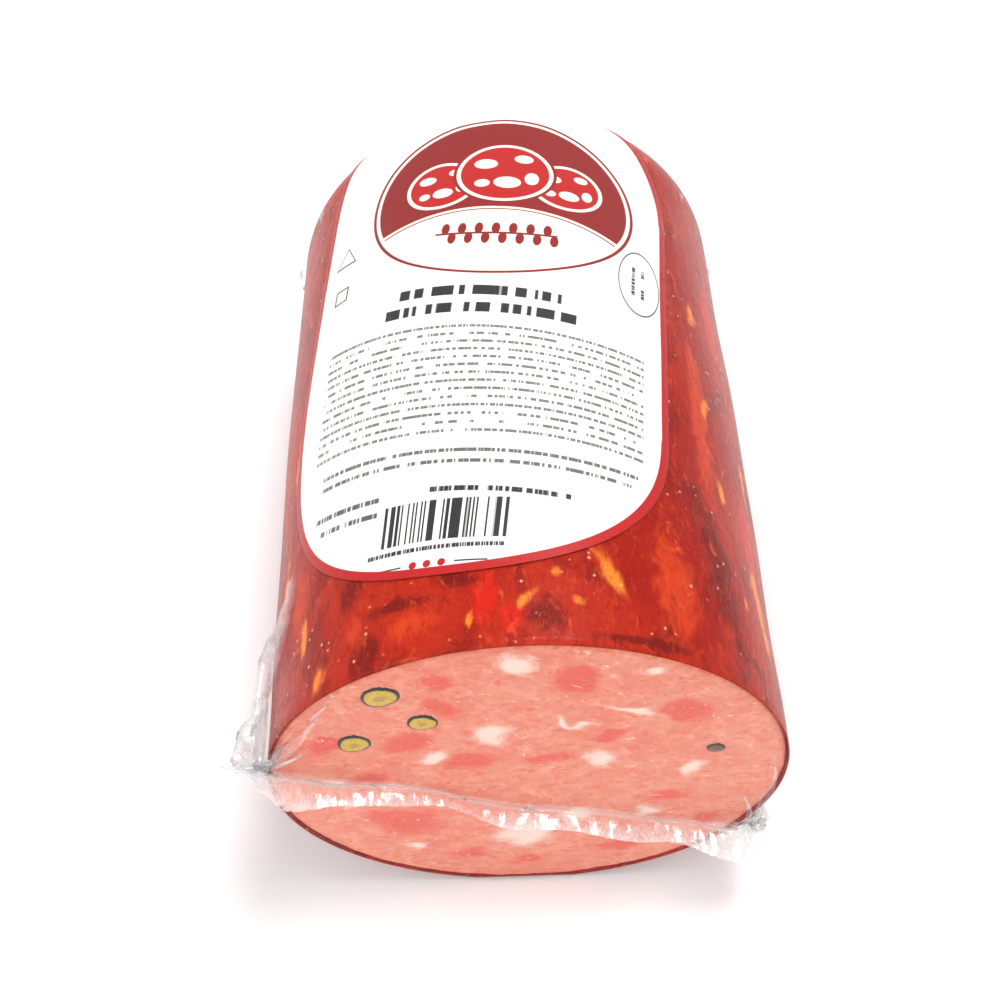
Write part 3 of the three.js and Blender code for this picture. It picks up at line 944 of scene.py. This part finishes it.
def label_finish():
    paint = Paint("label_print")
    flat = paint.attribute("flat", "Vector")
    x, y, rim = flat.part(0), flat.part(1), flat.part(2)
    colour = badge(paint, x, y, PAPER)
    tilted = y + x * 0.045
    for middle_x, middle_y, half_x in ((1.5, -2.3, 17.3), (1.5, -7.2, 20.0)):
        title = box_mark(x, tilted, middle_x, middle_y, half_x, 1.35)
        strokes = paint.noise(paint.add("ShaderNodeCombineXYZ", None, {0: x / 1.9, 1: middle_y}), 1.0, 0)
        colour = paint.mix(title * strokes.ramp(0.40, 0.46), colour, BLACK)
    small = broken_rows(paint, x, tilted, -11.5, 2.05, 3.1, 0.33, 2.0)
    colour = paint.mix(small * box_mark(x, tilted, 1.5, -25.9, 35.0, 14.35) * 0.8, colour, BLACK)
    address = broken_rows(paint, x, tilted, -42.6, 2.5, 3.6, 0.30, 9.0)
    colour = paint.mix(address * box_mark(x, tilted, 2.5, -45.1, 33.0, 2.5) * 0.85, colour, BLACK)
    weight = broken_rows(paint, x, tilted, -50.9, 3.4, 4.6, 0.36, 5.0)
    colour = paint.mix(weight * box_mark(x, tilted, 10.0, -52.6, 13.0, 1.7), colour, BLACK)
    dates = broken_rows(paint, x, tilted, -51.6, 3.2, 4.0, 0.30, 14.0)
    colour = paint.mix(dates * box_mark(x, tilted, -22.5, -54.8, 8.8, 3.2) * 0.9, colour, BLACK)
    step = paint.add("ShaderNodeMath", {"operation": "FLOOR"}, {0: x / 0.33})
    stripe = paint.add("ShaderNodeTexWhiteNoise", {"noise_dimensions": "1D"}, {"W": step})
    stripes = stripe.ramp(0.46, 0.50) * box_mark(x, y, 0, -59.0, 12.2, 4.3)
    colour = paint.mix(stripes, colour, BLACK)
    digits = broken_rows(paint, x, y, -63.6, 2.6, 2.0, 0.2, 20.0)
    colour = paint.mix(digits * box_mark(x, y, -1.5, -64.9, 13.5, 1.3), colour, BLACK)
    for middle_x in (-4.6, -1.8, 1.0):
        colour = paint.mix(inked(oval_distance(x, y, middle_x, -68.0, 0.75, 0.75)), colour, BORDER_RED)
    rule = box_mark(abs(x + 1.8), y, 8.2, -68.0, 3.0, 0.16)
    colour = paint.mix(rule, colour, BLACK)
    stamp = abs(oval_distance(x, y, 35.3, 9.5, 5.2, 9.8)) - 0.15
    colour = paint.mix(inked(stamp), colour, BLACK)
    stamp_rows = broken_rows(paint, y, x * -1, -32.6, 2.4, 3.0, 0.4, 30.0)
    colour = paint.mix(stamp_rows * box_mark(x, y, 35.4, 9.5, 2.6, 4.5), colour, BLACK)
    arrow = (abs(x + 34) * 1.7 + (y - 18.5)).most((y - 18.5) * -1) - 2.6
    colour = paint.mix(inked(abs(arrow) - 0.22), colour, BLACK)
    square = (abs(x + 33.5)).most(abs(y - 6.5)) - 1.9
    colour = paint.mix(inked(abs(square) - 0.2), colour, BLACK)
    colour = paint.mix(inked(rim - 1.7), colour, BORDER_RED)
    fibres = paint.noise(flat, 0.9, 4, 0.6)
    dents = paint.noise(flat, 0.10, 2, 0.5)
    return paint.surface(
        base_color=colour,
        roughness=fibres.ramp(0.3, 0.7, 0.38, 0.5),
        normal=paint.bump(fibres * 0.15 + dents, 0.25),
        coat_weight=0.08,
        coat_roughness=0.25,
    )


label.data.materials.append(label_finish())
print("label print:", len(label.data.materials[0].node_tree.nodes), "nodes")

# %% [markdown]
# ## Film bag
# The bag is a clear tube of film, welded flat at both ends and shrunk by vacuum. A flat bag round a
# round sausage has too much film at the four ends of its welds, so it stands off there in ears and
# crumples, and everywhere else it is tight. Cloth simulation could find that shape. Here the bag is
# a grid that is laid out as the ideal bag and then relaxed by a few lines of array code: each pass
# pulls the film towards its own lengths, presses it on the sausage and keeps it outside. It is
# quick, and it gives the same folds each time.

# %% The welds and their corners
FILM_LIFT = 0.65
FACE_GAP = 0.4
LEFT_CORNER, RIGHT_CORNER = math.radians(-81), math.radians(117)
EAR_REACH, EAR_LENGTH = 4.4, 16
FRONT_FIN, REAR_FIN = 3.8, 3.4
HALF_COLUMNS = 160
MOUTH_RADIUS = RADIUS - CUT_TAPER + FILM_LIFT


def pulled(away, spread):
    """How much further out film runs that is pulled straight from a round of radius 1 to a tip."""
    return np.where(away < spread, 1 / np.cos(np.clip(spread - away, 0, 1.2)), 1.0)


def ear_scale(angle, along):
    reach = EAR_REACH * np.clip(1 - along / EAR_LENGTH, 0, 1)
    spread = np.arccos(MOUTH_RADIUS / (MOUTH_RADIUS + reach))
    turns = (angle - LEFT_CORNER, angle - RIGHT_CORNER)
    away = [np.abs(np.arctan2(np.sin(turn), np.cos(turn))) for turn in turns]
    return pulled(np.minimum(*away), spread)


def round_point(angle, radius):
    return np.stack([np.sin(angle) * radius, np.cos(angle) * radius], axis=-1)


corner_radius = MOUTH_RADIUS + EAR_REACH
left_tip, right_tip = round_point(LEFT_CORNER, corner_radius), round_point(RIGHT_CORNER, corner_radius)
weld_run = right_tip - left_tip
weld_up = np.array([-weld_run[1], weld_run[0]]) / np.hypot(*weld_run)
print(f"front weld {np.hypot(*weld_run):.1f} mm from corner to corner")

# %% [markdown]
# ## Columns of the film
# In a flat bag, each point of the weld joins one point of the upper film and one of the lower. So
# the grid's columns come in pairs that meet at the weld, spaced closer near its ends, where the
# film crumples. An even grid round the mouth would be simpler, but its points would not meet.

# %% Where each column of the film runs


def column_angles():
    """Angles at the mouth for columns that meet in pairs at the weld, and their shares of the weld."""
    even = np.linspace(0, 1, HALF_COLUMNS + 1)
    share = 0.55 * even + 0.45 * (0.5 - 0.5 * np.cos(math.pi * even))
    halves = []
    for turn in (RIGHT_CORNER - LEFT_CORNER, RIGHT_CORNER - LEFT_CORNER - 2 * math.pi):
        angle = LEFT_CORNER + turn * np.linspace(0, 1, 2000)
        rim = round_point(angle, MOUTH_RADIUS * ear_scale(angle, 0))
        reached = (rim - left_tip) @ weld_run / (weld_run @ weld_run)
        halves.append(np.interp(share, reached, angle))
    upper, lower = halves
    rear_upper = (upper - LEFT_CORNER) / (RIGHT_CORNER - LEFT_CORNER) * math.pi - math.pi / 2
    mouth = np.concatenate([upper, lower[-2:0:-1]])
    rear = np.concatenate([rear_upper, -math.pi - rear_upper[-2:0:-1]])
    return mouth, rear, np.concatenate([share, share[-2:0:-1]])


MOUTH_ANGLE, REAR_ANGLE, WELD_SHARE = column_angles()
COLUMNS = 2 * HALF_COLUMNS
PARTNER = (-np.arange(COLUMNS)) % COLUMNS
UPPER = np.where(np.arange(COLUMNS) <= HALF_COLUMNS, 1.0, -1.0)


def weld_points():
    """The front weld wanders a little from the straight line between its corners."""
    wander = 1.5 * np.sin(7.5 * WELD_SHARE + 0.4) + 0.9 * np.sin(19 * WELD_SHARE + 1.9)
    wander = wander * np.sqrt(np.sin(math.pi * WELD_SHARE))
    return left_tip + WELD_SHARE[:, None] * weld_run + wander[:, None] * weld_up


print(f"{COLUMNS} columns, which meet in pairs along the weld")

# %% [markdown]
# ## Folds
# Long folds run from the bag's corners over the face, and others run along the sides. They could be
# left to the relaxing, but it makes folds of its own choosing. So the ones that stand out are laid
# in first, from two lists, and the relaxing then works on them too.

# %% Folds in the film
# Raised folds on the face: from and to (across, up from the axis), height, half width.
FACE_FOLDS = [
    ((-51, 10), (-30, 37), 3.4, 1.3),
    ((-51, 9), (-33, 20), 1.2, 0.8),
    ((-50, 8), (-28, 11), 1.4, 0.9),
    ((-50, 6), (-20, 1), 1.5, 1.0),
    ((50, -24), (45, 17), 2.2, 1.2),
    ((50, -24), (34, 4), 1.0, 0.8),
    ((47, -24), (24, -2), 0.9, 0.8),
    ((44, -24), (15, -6), 0.8, 0.7),
    ((40, -27), (14, -20), 1.6, 1.0),
    ((-28, -2), (-20, 8), 0.6, 0.6),
    ((0, -12), (-4, 2), 0.5, 0.6),
]
# Folds along the sausage: from and to (path from the cut, degrees from the top), height, half width.
SIDE_FOLDS = [
    ((2, 29), (96, 56), 0.7, 0.55),
    ((2, 66), (118, 80), 0.9, 0.9),
    ((2, 104), (45, 92), 1.5, 1.2),
    ((128, 60), (70, 49), 0.8, 0.6),
    ((134, 52), (96, 44), 1.0, 0.7),
    ((0, -53), (30, -46), 1.2, 0.6),
    ((0, -62), (46, -58), 1.6, 0.9),
    ((4, -92), (50, -84), 1.2, 1.2),
    ((79, -50), (70, -80), 1.2, 0.7),
    ((134, -60), (70, -66), 1.2, 1.0),
    ((134, 84), (90, 74), 1.4, 1.2),
    ((134, -84), (90, -76), 1.4, 1.2),
    ((5, 150), (70, 140), 1.0, 1.2),
    ((5, -140), (70, -150), 1.0, 1.2),
]


def fold_height(across, up, folds, turn_scale=1.0):
    """How far the folds lift the film, with a sharp crest that fades towards the second point."""
    total = np.zeros_like(across)
    for (x0, z0), (x1, z1), height, half_width in folds:
        run_x, run_z = x1 - x0, (z1 - z0) * turn_scale
        away_x, away_z = across - x0, up - z0 * turn_scale
        length = math.hypot(run_x, run_z)
        share = (away_x * run_x + away_z * run_z) / length**2
        bend = 1.6 * np.sin(5 * share + x0)
        off = (away_z * run_x - away_x * run_z) / length + bend
        fade = np.clip(1 - share, 0, 1) ** 0.6 * np.clip(share * 12 + 1, 0, 1)
        total = np.maximum(total, height * fade * np.exp(-np.abs(off / half_width) ** 1.3))
    return total


print(f"{len(FACE_FOLDS)} folds on the face, {len(SIDE_FOLDS)} along the sides")

# %% [markdown]
# ## The ideal bag
# Before it crumples, the bag is a fin and a flat face in front, a sleeve along the barrel, and a
# wedge behind that runs straight from the rounded end to a level ridge past the tail. Drawing it
# whole gives every edge of the grid a length, which the relaxing then aims for with some slack.

# %% The bag before it is relaxed
FIN_ROWS, FACE_ROWS, SIDE_ROWS, END_ROWS, TAIL_FIN_ROWS = 8, 40, 72, 30, 4
MOUTH_ROW = FIN_ROWS + FACE_ROWS
# Radians from the ridge to where the film leaves the rounded end. The CAD's formula gives 0.8463.
RIDGE_SPREAD = 0.8466
RIDGE_BACK = (END_DEPTH + FILM_LIFT) / math.cos(RIDGE_SPREAD)


def front_rows():
    weld = weld_points()
    rim = round_point(MOUTH_ANGLE, MOUTH_RADIUS * ear_scale(MOUTH_ANGLE, 0))
    out = np.linspace(1, 0, FIN_ROWS, endpoint=False)[:, None]
    ruffle = 1 + 0.18 * np.sin(11 * WELD_SHARE + 1) + 0.12 * np.sin(29 * WELD_SHARE)
    left_crowd = np.exp(-((WELD_SHARE / 0.16) ** 2))
    right_crowd = np.exp(-(((WELD_SHARE - 0.92) / 0.14) ** 2))
    crowded = 1 + 0.9 * left_crowd + 0.9 * right_crowd
    depth = FRONT_FIN * out * ruffle * crowded
    at_left = np.exp(-((WELD_SHARE / 0.10) ** 2))
    up_turn = 1.25 * at_left - 0.25 * (1 - at_left)
    rise = (depth * np.sin(up_turn))[..., None] * np.array([-0.1, 1.0])
    fin = weld + rise + 0.2 * UPPER[:, None] * weld_up
    fin = np.insert(fin, 1, -FACE_GAP - 0.6 - depth * np.cos(up_turn), axis=-1)
    share = np.linspace(0, 1, FACE_ROWS, endpoint=False)[:, None, None] ** 1.15
    flat = weld + share * (rim - weld)
    tent = 1.6 * np.exp(-np.linalg.norm(flat - weld, axis=-1) / 2.2)
    folds = fold_height(flat[..., 0], flat[..., 1] * SQUASH, FACE_FOLDS)
    edge = np.clip((np.hypot(flat[..., 0], flat[..., 1]) - MOUTH_RADIUS + 2) / 2, 0, 1)
    face = np.insert(flat, 1, -FACE_GAP - (tent + folds) * (1 - edge), axis=-1)
    return np.concatenate([fin, face])


def side_rows():
    share = np.linspace(0, 1, SIDE_ROWS)[:, None] ** 1.35
    path = share * SHOULDER
    blend = share * share * (3 - 2 * share)
    angle = MOUTH_ANGLE * (1 - blend) + REAR_ANGLE * blend
    signed = np.degrees(np.arctan2(np.sin(angle), np.cos(angle)))
    folds = fold_height(np.broadcast_to(path, angle.shape), signed * 0.9, SIDE_FOLDS, 0.9)
    barrel = RADIUS - CUT_TAPER * (1 - share) ** 2 + FILM_LIFT
    radius = barrel * ear_scale(angle, path) + folds
    along = np.broadcast_to(path, angle.shape)
    return np.stack([np.sin(angle) * radius, along, np.cos(angle) * radius], axis=-1)


def end_rows():
    """Each column runs straight back over the end and leaves it for the ridge behind the tail."""
    radius, depth = RADIUS + FILM_LIFT, END_DEPTH + FILM_LIFT
    rows = np.empty((END_ROWS + TAIL_FIN_ROWS, COLUMNS, 3))
    for j, angle in enumerate(REAR_ANGLE):
        x, side = radius * math.sin(angle), math.cos(angle)
        height = abs(side) * radius * np.cos(np.linspace(0, math.pi / 2, 160))
        wide = np.clip(np.hypot(x, height) / radius, 0, 1) ** END_FULLNESS
        back = depth * (1 - wide) ** (1 / END_FULLNESS)
        plan = (1 - min(abs(x) / radius, 1) ** END_FULLNESS) ** (1 / END_FULLNESS)
        ridge = RIDGE_BACK * plan
        leaves = int(np.argmax(height / np.maximum(ridge - back, 1e-6)))
        back, height = np.append(back[: leaves + 1], ridge), np.append(height[: leaves + 1], 0.15)
        length = np.concatenate([[0], np.cumsum(np.hypot(np.diff(back), np.diff(height)))])
        at = np.linspace(0, length[-1], END_ROWS + 1)[1:]
        sign = 1 if side >= 0 else -1
        rows[:END_ROWS, j, 0] = x
        rows[:END_ROWS, j, 1] = SHOULDER + np.interp(at, length, back)
        rows[:END_ROWS, j, 2] = sign * np.interp(at, length, height)
        outward = np.array([np.sign(x) * (abs(x) / radius) ** 3, plan])
        outward = outward / np.hypot(*outward)
        for i in range(TAIL_FIN_ROWS):
            fin = REAR_FIN * plan**0.25 * (i + 1) / TAIL_FIN_ROWS
            rows[END_ROWS + i, j] = (x + outward[0] * fin, SHOULDER + ridge + outward[1] * fin, 0.15 * sign)
    return rows


def ideal_bag():
    rows = np.concatenate([front_rows(), side_rows(), end_rows()])
    return press(rows[..., 0], rows[..., 1], rows[..., 2], FILM_LIFT)


bag_start = ideal_bag()
print("bag grid:", bag_start.shape)

# %% [markdown]
# ## Keeping the film outside
# Vacuum presses the film on the sausage, but nothing lets it go in. Testing every point against the
# meshes would be slow, so a point's place is turned back into the round form, where inside and
# outside are one comparison of radii, and a point that is inside is moved straight out.

# %% Keeping the film outside


def to_round(points):
    """Undoes the press: across, along and up in the round form."""
    up = (points[..., 2] - AXIS_Z) / SQUASH
    lean = (points[..., 2] - AXIS_Z) / HEIGHT * CUT_LEAN
    behind = points[..., 1] - CUT_Y
    along = np.where(behind < lean, behind - lean, (behind - lean) / (1 - lean / SHOULDER))
    return points[..., 0], np.where(behind > SHOULDER, behind, along), up


def keep_outside(points):
    """Moves points that are inside the wrapped sausage, or under the floor, back out."""
    x, along, up = to_round(points)
    radius = np.hypot(x, up) + 1e-6
    angle = np.arctan2(x, up)
    rise = FILM_LIFT + lumps(along, angle) * (along < SHOULDER)
    rise = np.maximum(rise, label_top(along, angle) + 0.25)
    straight = np.clip(along / SHOULDER, 0, 1)
    skin_radius = RADIUS - CUT_TAPER * (1 - straight) ** 2 + rise
    over_side, over_face = skin_radius - radius, along + FACE_GAP
    beside = (over_side > 0) & (over_face > 0) & (along <= SHOULDER)
    by_face = beside & (over_face < over_side)
    by_side = beside & ~by_face
    scale = np.where(by_side, skin_radius / radius, 1.0)
    moved_along = np.where(by_face, -FACE_GAP, along)
    back = np.clip(along - SHOULDER, 0, None)
    wide, deep = RADIUS + rise, END_DEPTH + rise
    inside = ((radius / wide) ** END_FULLNESS + (back / deep) ** END_FULLNESS) ** (1 / END_FULLNESS)
    round_end = (along > SHOULDER) & (inside < 1)
    scale = np.where(round_end, 1 / np.maximum(inside, 0.2), scale)
    moved_along = np.where(round_end, SHOULDER + back / np.maximum(inside, 0.2), moved_along)
    tail_radius, tail_end = TAIL_RADIUS + 1.6, LENGTH + NECK_LENGTH + TAIL_LENGTH + 0.8
    in_tail = (moved_along > LENGTH) & (moved_along < tail_end) & (radius * scale < tail_radius)
    scale = np.where(in_tail, tail_radius / radius, scale)
    return press(x * scale, moved_along, up * scale, FILM_LIFT)


print("kept out of the barrel, the cut face, the rounded end and the tail")

# %% [markdown]
# ## Relaxing
# Each pass draws the film in a little, moves neighbours towards the distance that the film has
# between them, closes the welds and pushes out what is inside. In the ears the film has more length
# than room, so it buckles. Blender's Cloth could do this, but it has to be stepped and baked. These
# passes are plain arithmetic, and give the same folds each run.

# %% Relaxing the film
PASSES = 160


def slack():
    """Rest length over ideal length: shrunk tight, but loose in the ears and along the welds."""
    row = np.arange(len(bag_start))[:, None]
    left, right = WELD_SHARE[None, :], 1 - WELD_SHARE[None, :]
    near_mouth = np.exp(-(((row - MOUTH_ROW) / 20.0) ** 2)) + (row < MOUTH_ROW) * 0.5
    ears = np.exp(-((left / 0.10) ** 2)) + 0.8 * np.exp(-((right / 0.09) ** 2))
    fin = np.clip(1 - row / (FIN_ROWS + 3.0), 0, 1)
    tail = np.clip((row - MOUTH_ROW - SIDE_ROWS - END_ROWS + 4) / 6.0, 0, 1)
    return 0.985 + 0.30 * ears * np.clip(near_mouth, 0, 1) + 0.10 * fin + 0.05 * tail


# Neighbours that hold each other: rows apart, columns apart, stiffness. Two apart resists bending.
SPANS = [(0, 1, 0.5), (1, 0, 0.5), (1, 1, 0.25), (1, -1, 0.25), (0, 2, 0.08), (2, 0, 0.08)]


def run_between(points, down, round_):
    return np.roll(points, -round_, axis=1)[down:] - points[: len(points) - down]


def relax(points):
    loose = slack()
    rests = []
    for down, round_, _ in SPANS:
        ideal = np.linalg.norm(run_between(points, down, round_), axis=-1)
        rests.append(ideal * loose[: len(points) - down])
    row = np.arange(len(points))[:, None]
    in_fin = (row < FIN_ROWS + 1) | (row >= MOUTH_ROW + SIDE_ROWS + END_ROWS - 1)
    corner = np.exp(-((WELD_SHARE / 0.03) ** 2)) + np.exp(-(((1 - WELD_SHARE) / 0.03) ** 2))
    paired = (in_fin * 0.4 + 0.12 * corner * (row < MOUTH_ROW + 14))[..., None]
    shaken = corner * np.exp(-(((row - MOUTH_ROW) / 22.0) ** 2)) + 0.4 * (row < FIN_ROWS + 2)
    for axis in range(3):
        points[..., axis] += 0.8 * shaken * rough_noise(points + 50 * axis, 5.0)
    for _ in range(PASSES):
        round_run = np.roll(points, -1, axis=1) - np.roll(points, 1, axis=1)
        inward = np.cross(np.gradient(points, axis=0), round_run)
        inward /= np.linalg.norm(inward, axis=-1, keepdims=True) + 1e-6
        points += inward * 0.02
        for (down, round_, stiffness), rest in zip(SPANS, rests):
            run = run_between(points, down, round_)
            length = np.sqrt((run * run).sum(axis=-1)) + 1e-6
            shift = run * ((length - rest) / length * (0.5 * stiffness))[..., None]
            points[: len(points) - down] += shift
            points[down:] -= np.roll(shift, round_, axis=1)
        across = points[:, PARTNER] - points
        apart = np.linalg.norm(across, axis=-1, keepdims=True) + 1e-6
        points += across * (np.clip(apart - 0.4, 0, None) / apart * 0.5 * paired)
        points = keep_outside(points)
    return points


def bend(before, here, after):
    """How sharply the film turns at a point, whatever the spacing of its neighbours."""
    into, out_of = here - before, after - here
    into_length, out_length = np.linalg.norm(into, axis=-1), np.linalg.norm(out_of, axis=-1)
    turn = out_of / (out_length[..., None] + 1e-6) - into / (into_length[..., None] + 1e-6)
    return 0.5 * np.linalg.norm(turn, axis=-1) * np.minimum(into_length, out_length)


def make_film():
    points = relax(bag_start.copy())
    rows = len(points)
    row = np.arange(rows)[:, None]
    around = bend(np.roll(points, 1, axis=1), points, np.roll(points, -1, axis=1))
    along = np.zeros((rows, COLUMNS))
    along[1:-1] = bend(points[:-2], points[1:-1], points[2:])
    step = np.linalg.norm(np.roll(points, -1, axis=1) - points, axis=-1) + 0.3
    # How sharply the film bends: the finish paints glints on it and raises its gloss there.
    crease = (around + along) / step
    corner = np.exp(-((WELD_SHARE / 0.08) ** 2)) + np.exp(-(((1 - WELD_SHARE) / 0.08) ** 2))
    rim = np.exp(-(((row - MOUTH_ROW) / 3.0) ** 2))
    crease = crease * (1 - rim * np.clip(1 - corner, 0, 1))
    x, along_bag, up = to_round(points)
    straight = np.clip(along_bag / SHOULDER, 0, 1)
    stand = np.hypot(x, up) - (RADIUS - CUT_TAPER * (1 - straight) ** 2 + FILM_LIFT)
    stand = np.where(row < MOUTH_ROW, -FACE_GAP - along_bag, stand)
    weld = np.clip(1.2 - row / 2.0, 0, 1) + (row < FIN_ROWS + 1) * 0.25
    weld = weld + (row >= rows - TAIL_FIN_ROWS) * 0.5
    weld = weld + 1.6 * corner * np.exp(-(((row - FIN_ROWS / 2) / 12.0) ** 2))
    values = {"crease": crease, "stand": stand, "weld": np.broadcast_to(weld, crease.shape)}
    values = {key: field.ravel() for key, field in values.items()}
    faces = grid_faces(rows, COLUMNS, wrap=True)
    return add_piece("film", points.reshape(-1, 3), faces, "film_bag", values)


film = make_film()

# %% [markdown]
# ## Film finish
# Clear film lets nearly all light through. What shows is its gloss, which grows towards the edges,
# and a milky white where it is doubled or welded. On creases, and on crackle lines where it stands
# off, the white is partly real whitening of the film and partly painted glints, bright lines that
# show whatever the light. A glass shader would bend the light, which film this thin does not do. So
# a transparent shader is mixed with a white one by that mask, lit from both sides, and with a
# glossy one by Fresnel and the creases.

# %% Film material


def film_finish():
    paint = Paint("clear_film")
    where = paint.point()
    crease, stand, weld = (paint.attribute(name) for name in ("crease", "stand", "weld"))
    wrinkles = paint.noise(where.scaled((1, 0.35, 1)), 0.5, 4, 0.6, 1.0)
    crackle = paint.noise(where.scaled((1, 0.6, 1)), 0.32, 3, 0.5, 1.5)
    normal = paint.bump(wrinkles * 0.8 + crackle * 0.2, 0.3)
    lines = crackle.ramp(0.485, 0.50) * crackle.ramp(0.515, 0.50)
    # Painted glints, partly real whitening: creases and crackle lines turn white whatever the light.
    haze_and_painted_glints = crease.ramp(0.15, 0.7, 0.0, 0.55) + stand.ramp(1.5, 6.0, 0.0, 0.16)
    haze_and_painted_glints = haze_and_painted_glints + weld * 0.16 + lines * stand.ramp(0.5, 2.5, 0.0, 0.45) + 0.004
    white = {"Color": (0.98, 0.98, 0.98, 1)}
    lit = paint.add("ShaderNodeBsdfDiffuse", None, white)
    lit_through = paint.add("ShaderNodeBsdfTranslucent", None, white)
    milk = paint.add("ShaderNodeMixShader", None, {0: 0.5, 1: lit, 2: lit_through})
    clear = paint.add("ShaderNodeBsdfTransparent", None, {"Color": (1, 1, 1, 1)})
    wet = {"Color": (1, 1, 1, 1), "Roughness": 0.07, "Normal": normal}
    gloss = paint.add("ShaderNodeBsdfGlossy", None, wet)
    edge_on = paint.add("ShaderNodeFresnel", None, {"IOR": 1.33, "Normal": normal})
    body = paint.add("ShaderNodeMixShader", None, {0: haze_and_painted_glints.least(0.85), 1: clear, 2: milk})
    shine = (edge_on * 0.45).least(0.09) + crease.ramp(0.10, 0.5, 0.0, 0.12)
    shine = shine + stand.ramp(0.6, 3.0, 0.0, 0.08)
    return paint.finish(paint.add("ShaderNodeMixShader", None, {0: shine, 1: body, 2: gloss}))


film.data.materials.append(film_finish())
print("film finish ready")

# %% [markdown]
# ## Studio
# A pale floor, a soft light nearly overhead, a weaker one in front on the left and an even white
# surround. Their broad shapes are what the film and the casing show as highlights. A picture of a
# room round the scene could do the same, but lights can be moved one at a time.

# %% Floor and lights
FLOOR_SIZE = 6.0


def make_floor():
    half = FLOOR_SIZE / 2
    mesh = bpy.data.meshes.new("floor")
    corners = [(-half, -half, 0), (half, -half, 0), (half, half, 0), (-half, half, 0)]
    mesh.from_pydata(corners, [], [(0, 1, 2, 3)])
    floor = bpy.data.objects.new("floor", mesh)
    bpy.context.collection.objects.link(floor)
    paint = Paint("pale_floor")
    floor.data.materials.append(paint.surface(base_color=(0.92, 0.92, 0.92, 1), roughness=0.9))


def aim(thing, target):
    thing.rotation_euler = (Vector(target) - thing.location).to_track_quat("-Z", "Y").to_euler()


def soft_light(name, place, target, size, power, colour=(1, 1, 1)):
    light = bpy.data.lights.new(name, "AREA")
    light.shape, light.size, light.energy, light.color = "SQUARE", size, power, colour
    thing = bpy.data.objects.new(name, light)
    thing.location = place
    bpy.context.collection.objects.link(thing)
    aim(thing, target)


make_floor()
soft_light("key", (0.15, 0.06, 0.92), (0, 0, 0.04), 0.30, 4.4)
soft_light("fill", (-0.5, -0.5, 0.55), (0, 0, 0.04), 0.5, 1.6)
world = bpy.data.worlds.new("surround")
world.use_nodes = True
world.node_tree.nodes["Background"].inputs["Color"].default_value = (1, 1, 1, 1)
world.node_tree.nodes["Background"].inputs["Strength"].default_value = 0.80
bpy.context.scene.world = world
view = bpy.context.scene.view_settings
view.view_transform, view.look, view.exposure = "Standard", "Medium High Contrast", -0.22
print("floor and", len(bpy.data.lights), "lights ready")

# %% [markdown]
# ## Camera
# The camera looks down on the cut face and the label from in front, as someone would who picks the
# pack up. It is near, so the sausage narrows clearly towards its far end. It could track an empty,
# but an aim worked out from three angles and a distance is easier to adjust.

# %% Camera
CAMERA_DOWN, CAMERA_TURN, CAMERA_ROLL = (math.radians(angle) for angle in (54.2, 1.54, 0.22))
CAMERA_TARGET = Vector((-3.77, -29.47, 60)) * MM
CAMERA_DISTANCE = 0.2389
FOCAL_LENGTH = 41.6


def make_camera():
    camera = bpy.data.objects.new("camera", bpy.data.cameras.new("camera"))
    forward = Vector(
        (
            math.sin(CAMERA_TURN) * math.cos(CAMERA_DOWN),
            math.cos(CAMERA_TURN) * math.cos(CAMERA_DOWN),
            -math.sin(CAMERA_DOWN),
        )
    )
    camera.location = CAMERA_TARGET - forward * CAMERA_DISTANCE
    camera.rotation_euler = forward.to_track_quat("-Z", "Y").to_euler()
    camera.rotation_euler.rotate_axis("Z", -CAMERA_ROLL)
    camera.data.lens, camera.data.sensor_width = FOCAL_LENGTH, 36
    camera.data.clip_start = 0.01
    bpy.context.collection.objects.link(camera)
    bpy.context.scene.camera = camera


make_camera()
print(f"camera {CAMERA_DISTANCE * 1000:.0f} mm away, lens {FOCAL_LENGTH} mm")

# %% [markdown]
# ## Finish
# The pieces are drawn in the CAD's space, and the view layer is updated at the end.

# %% Finish
bpy.context.view_layer.update()
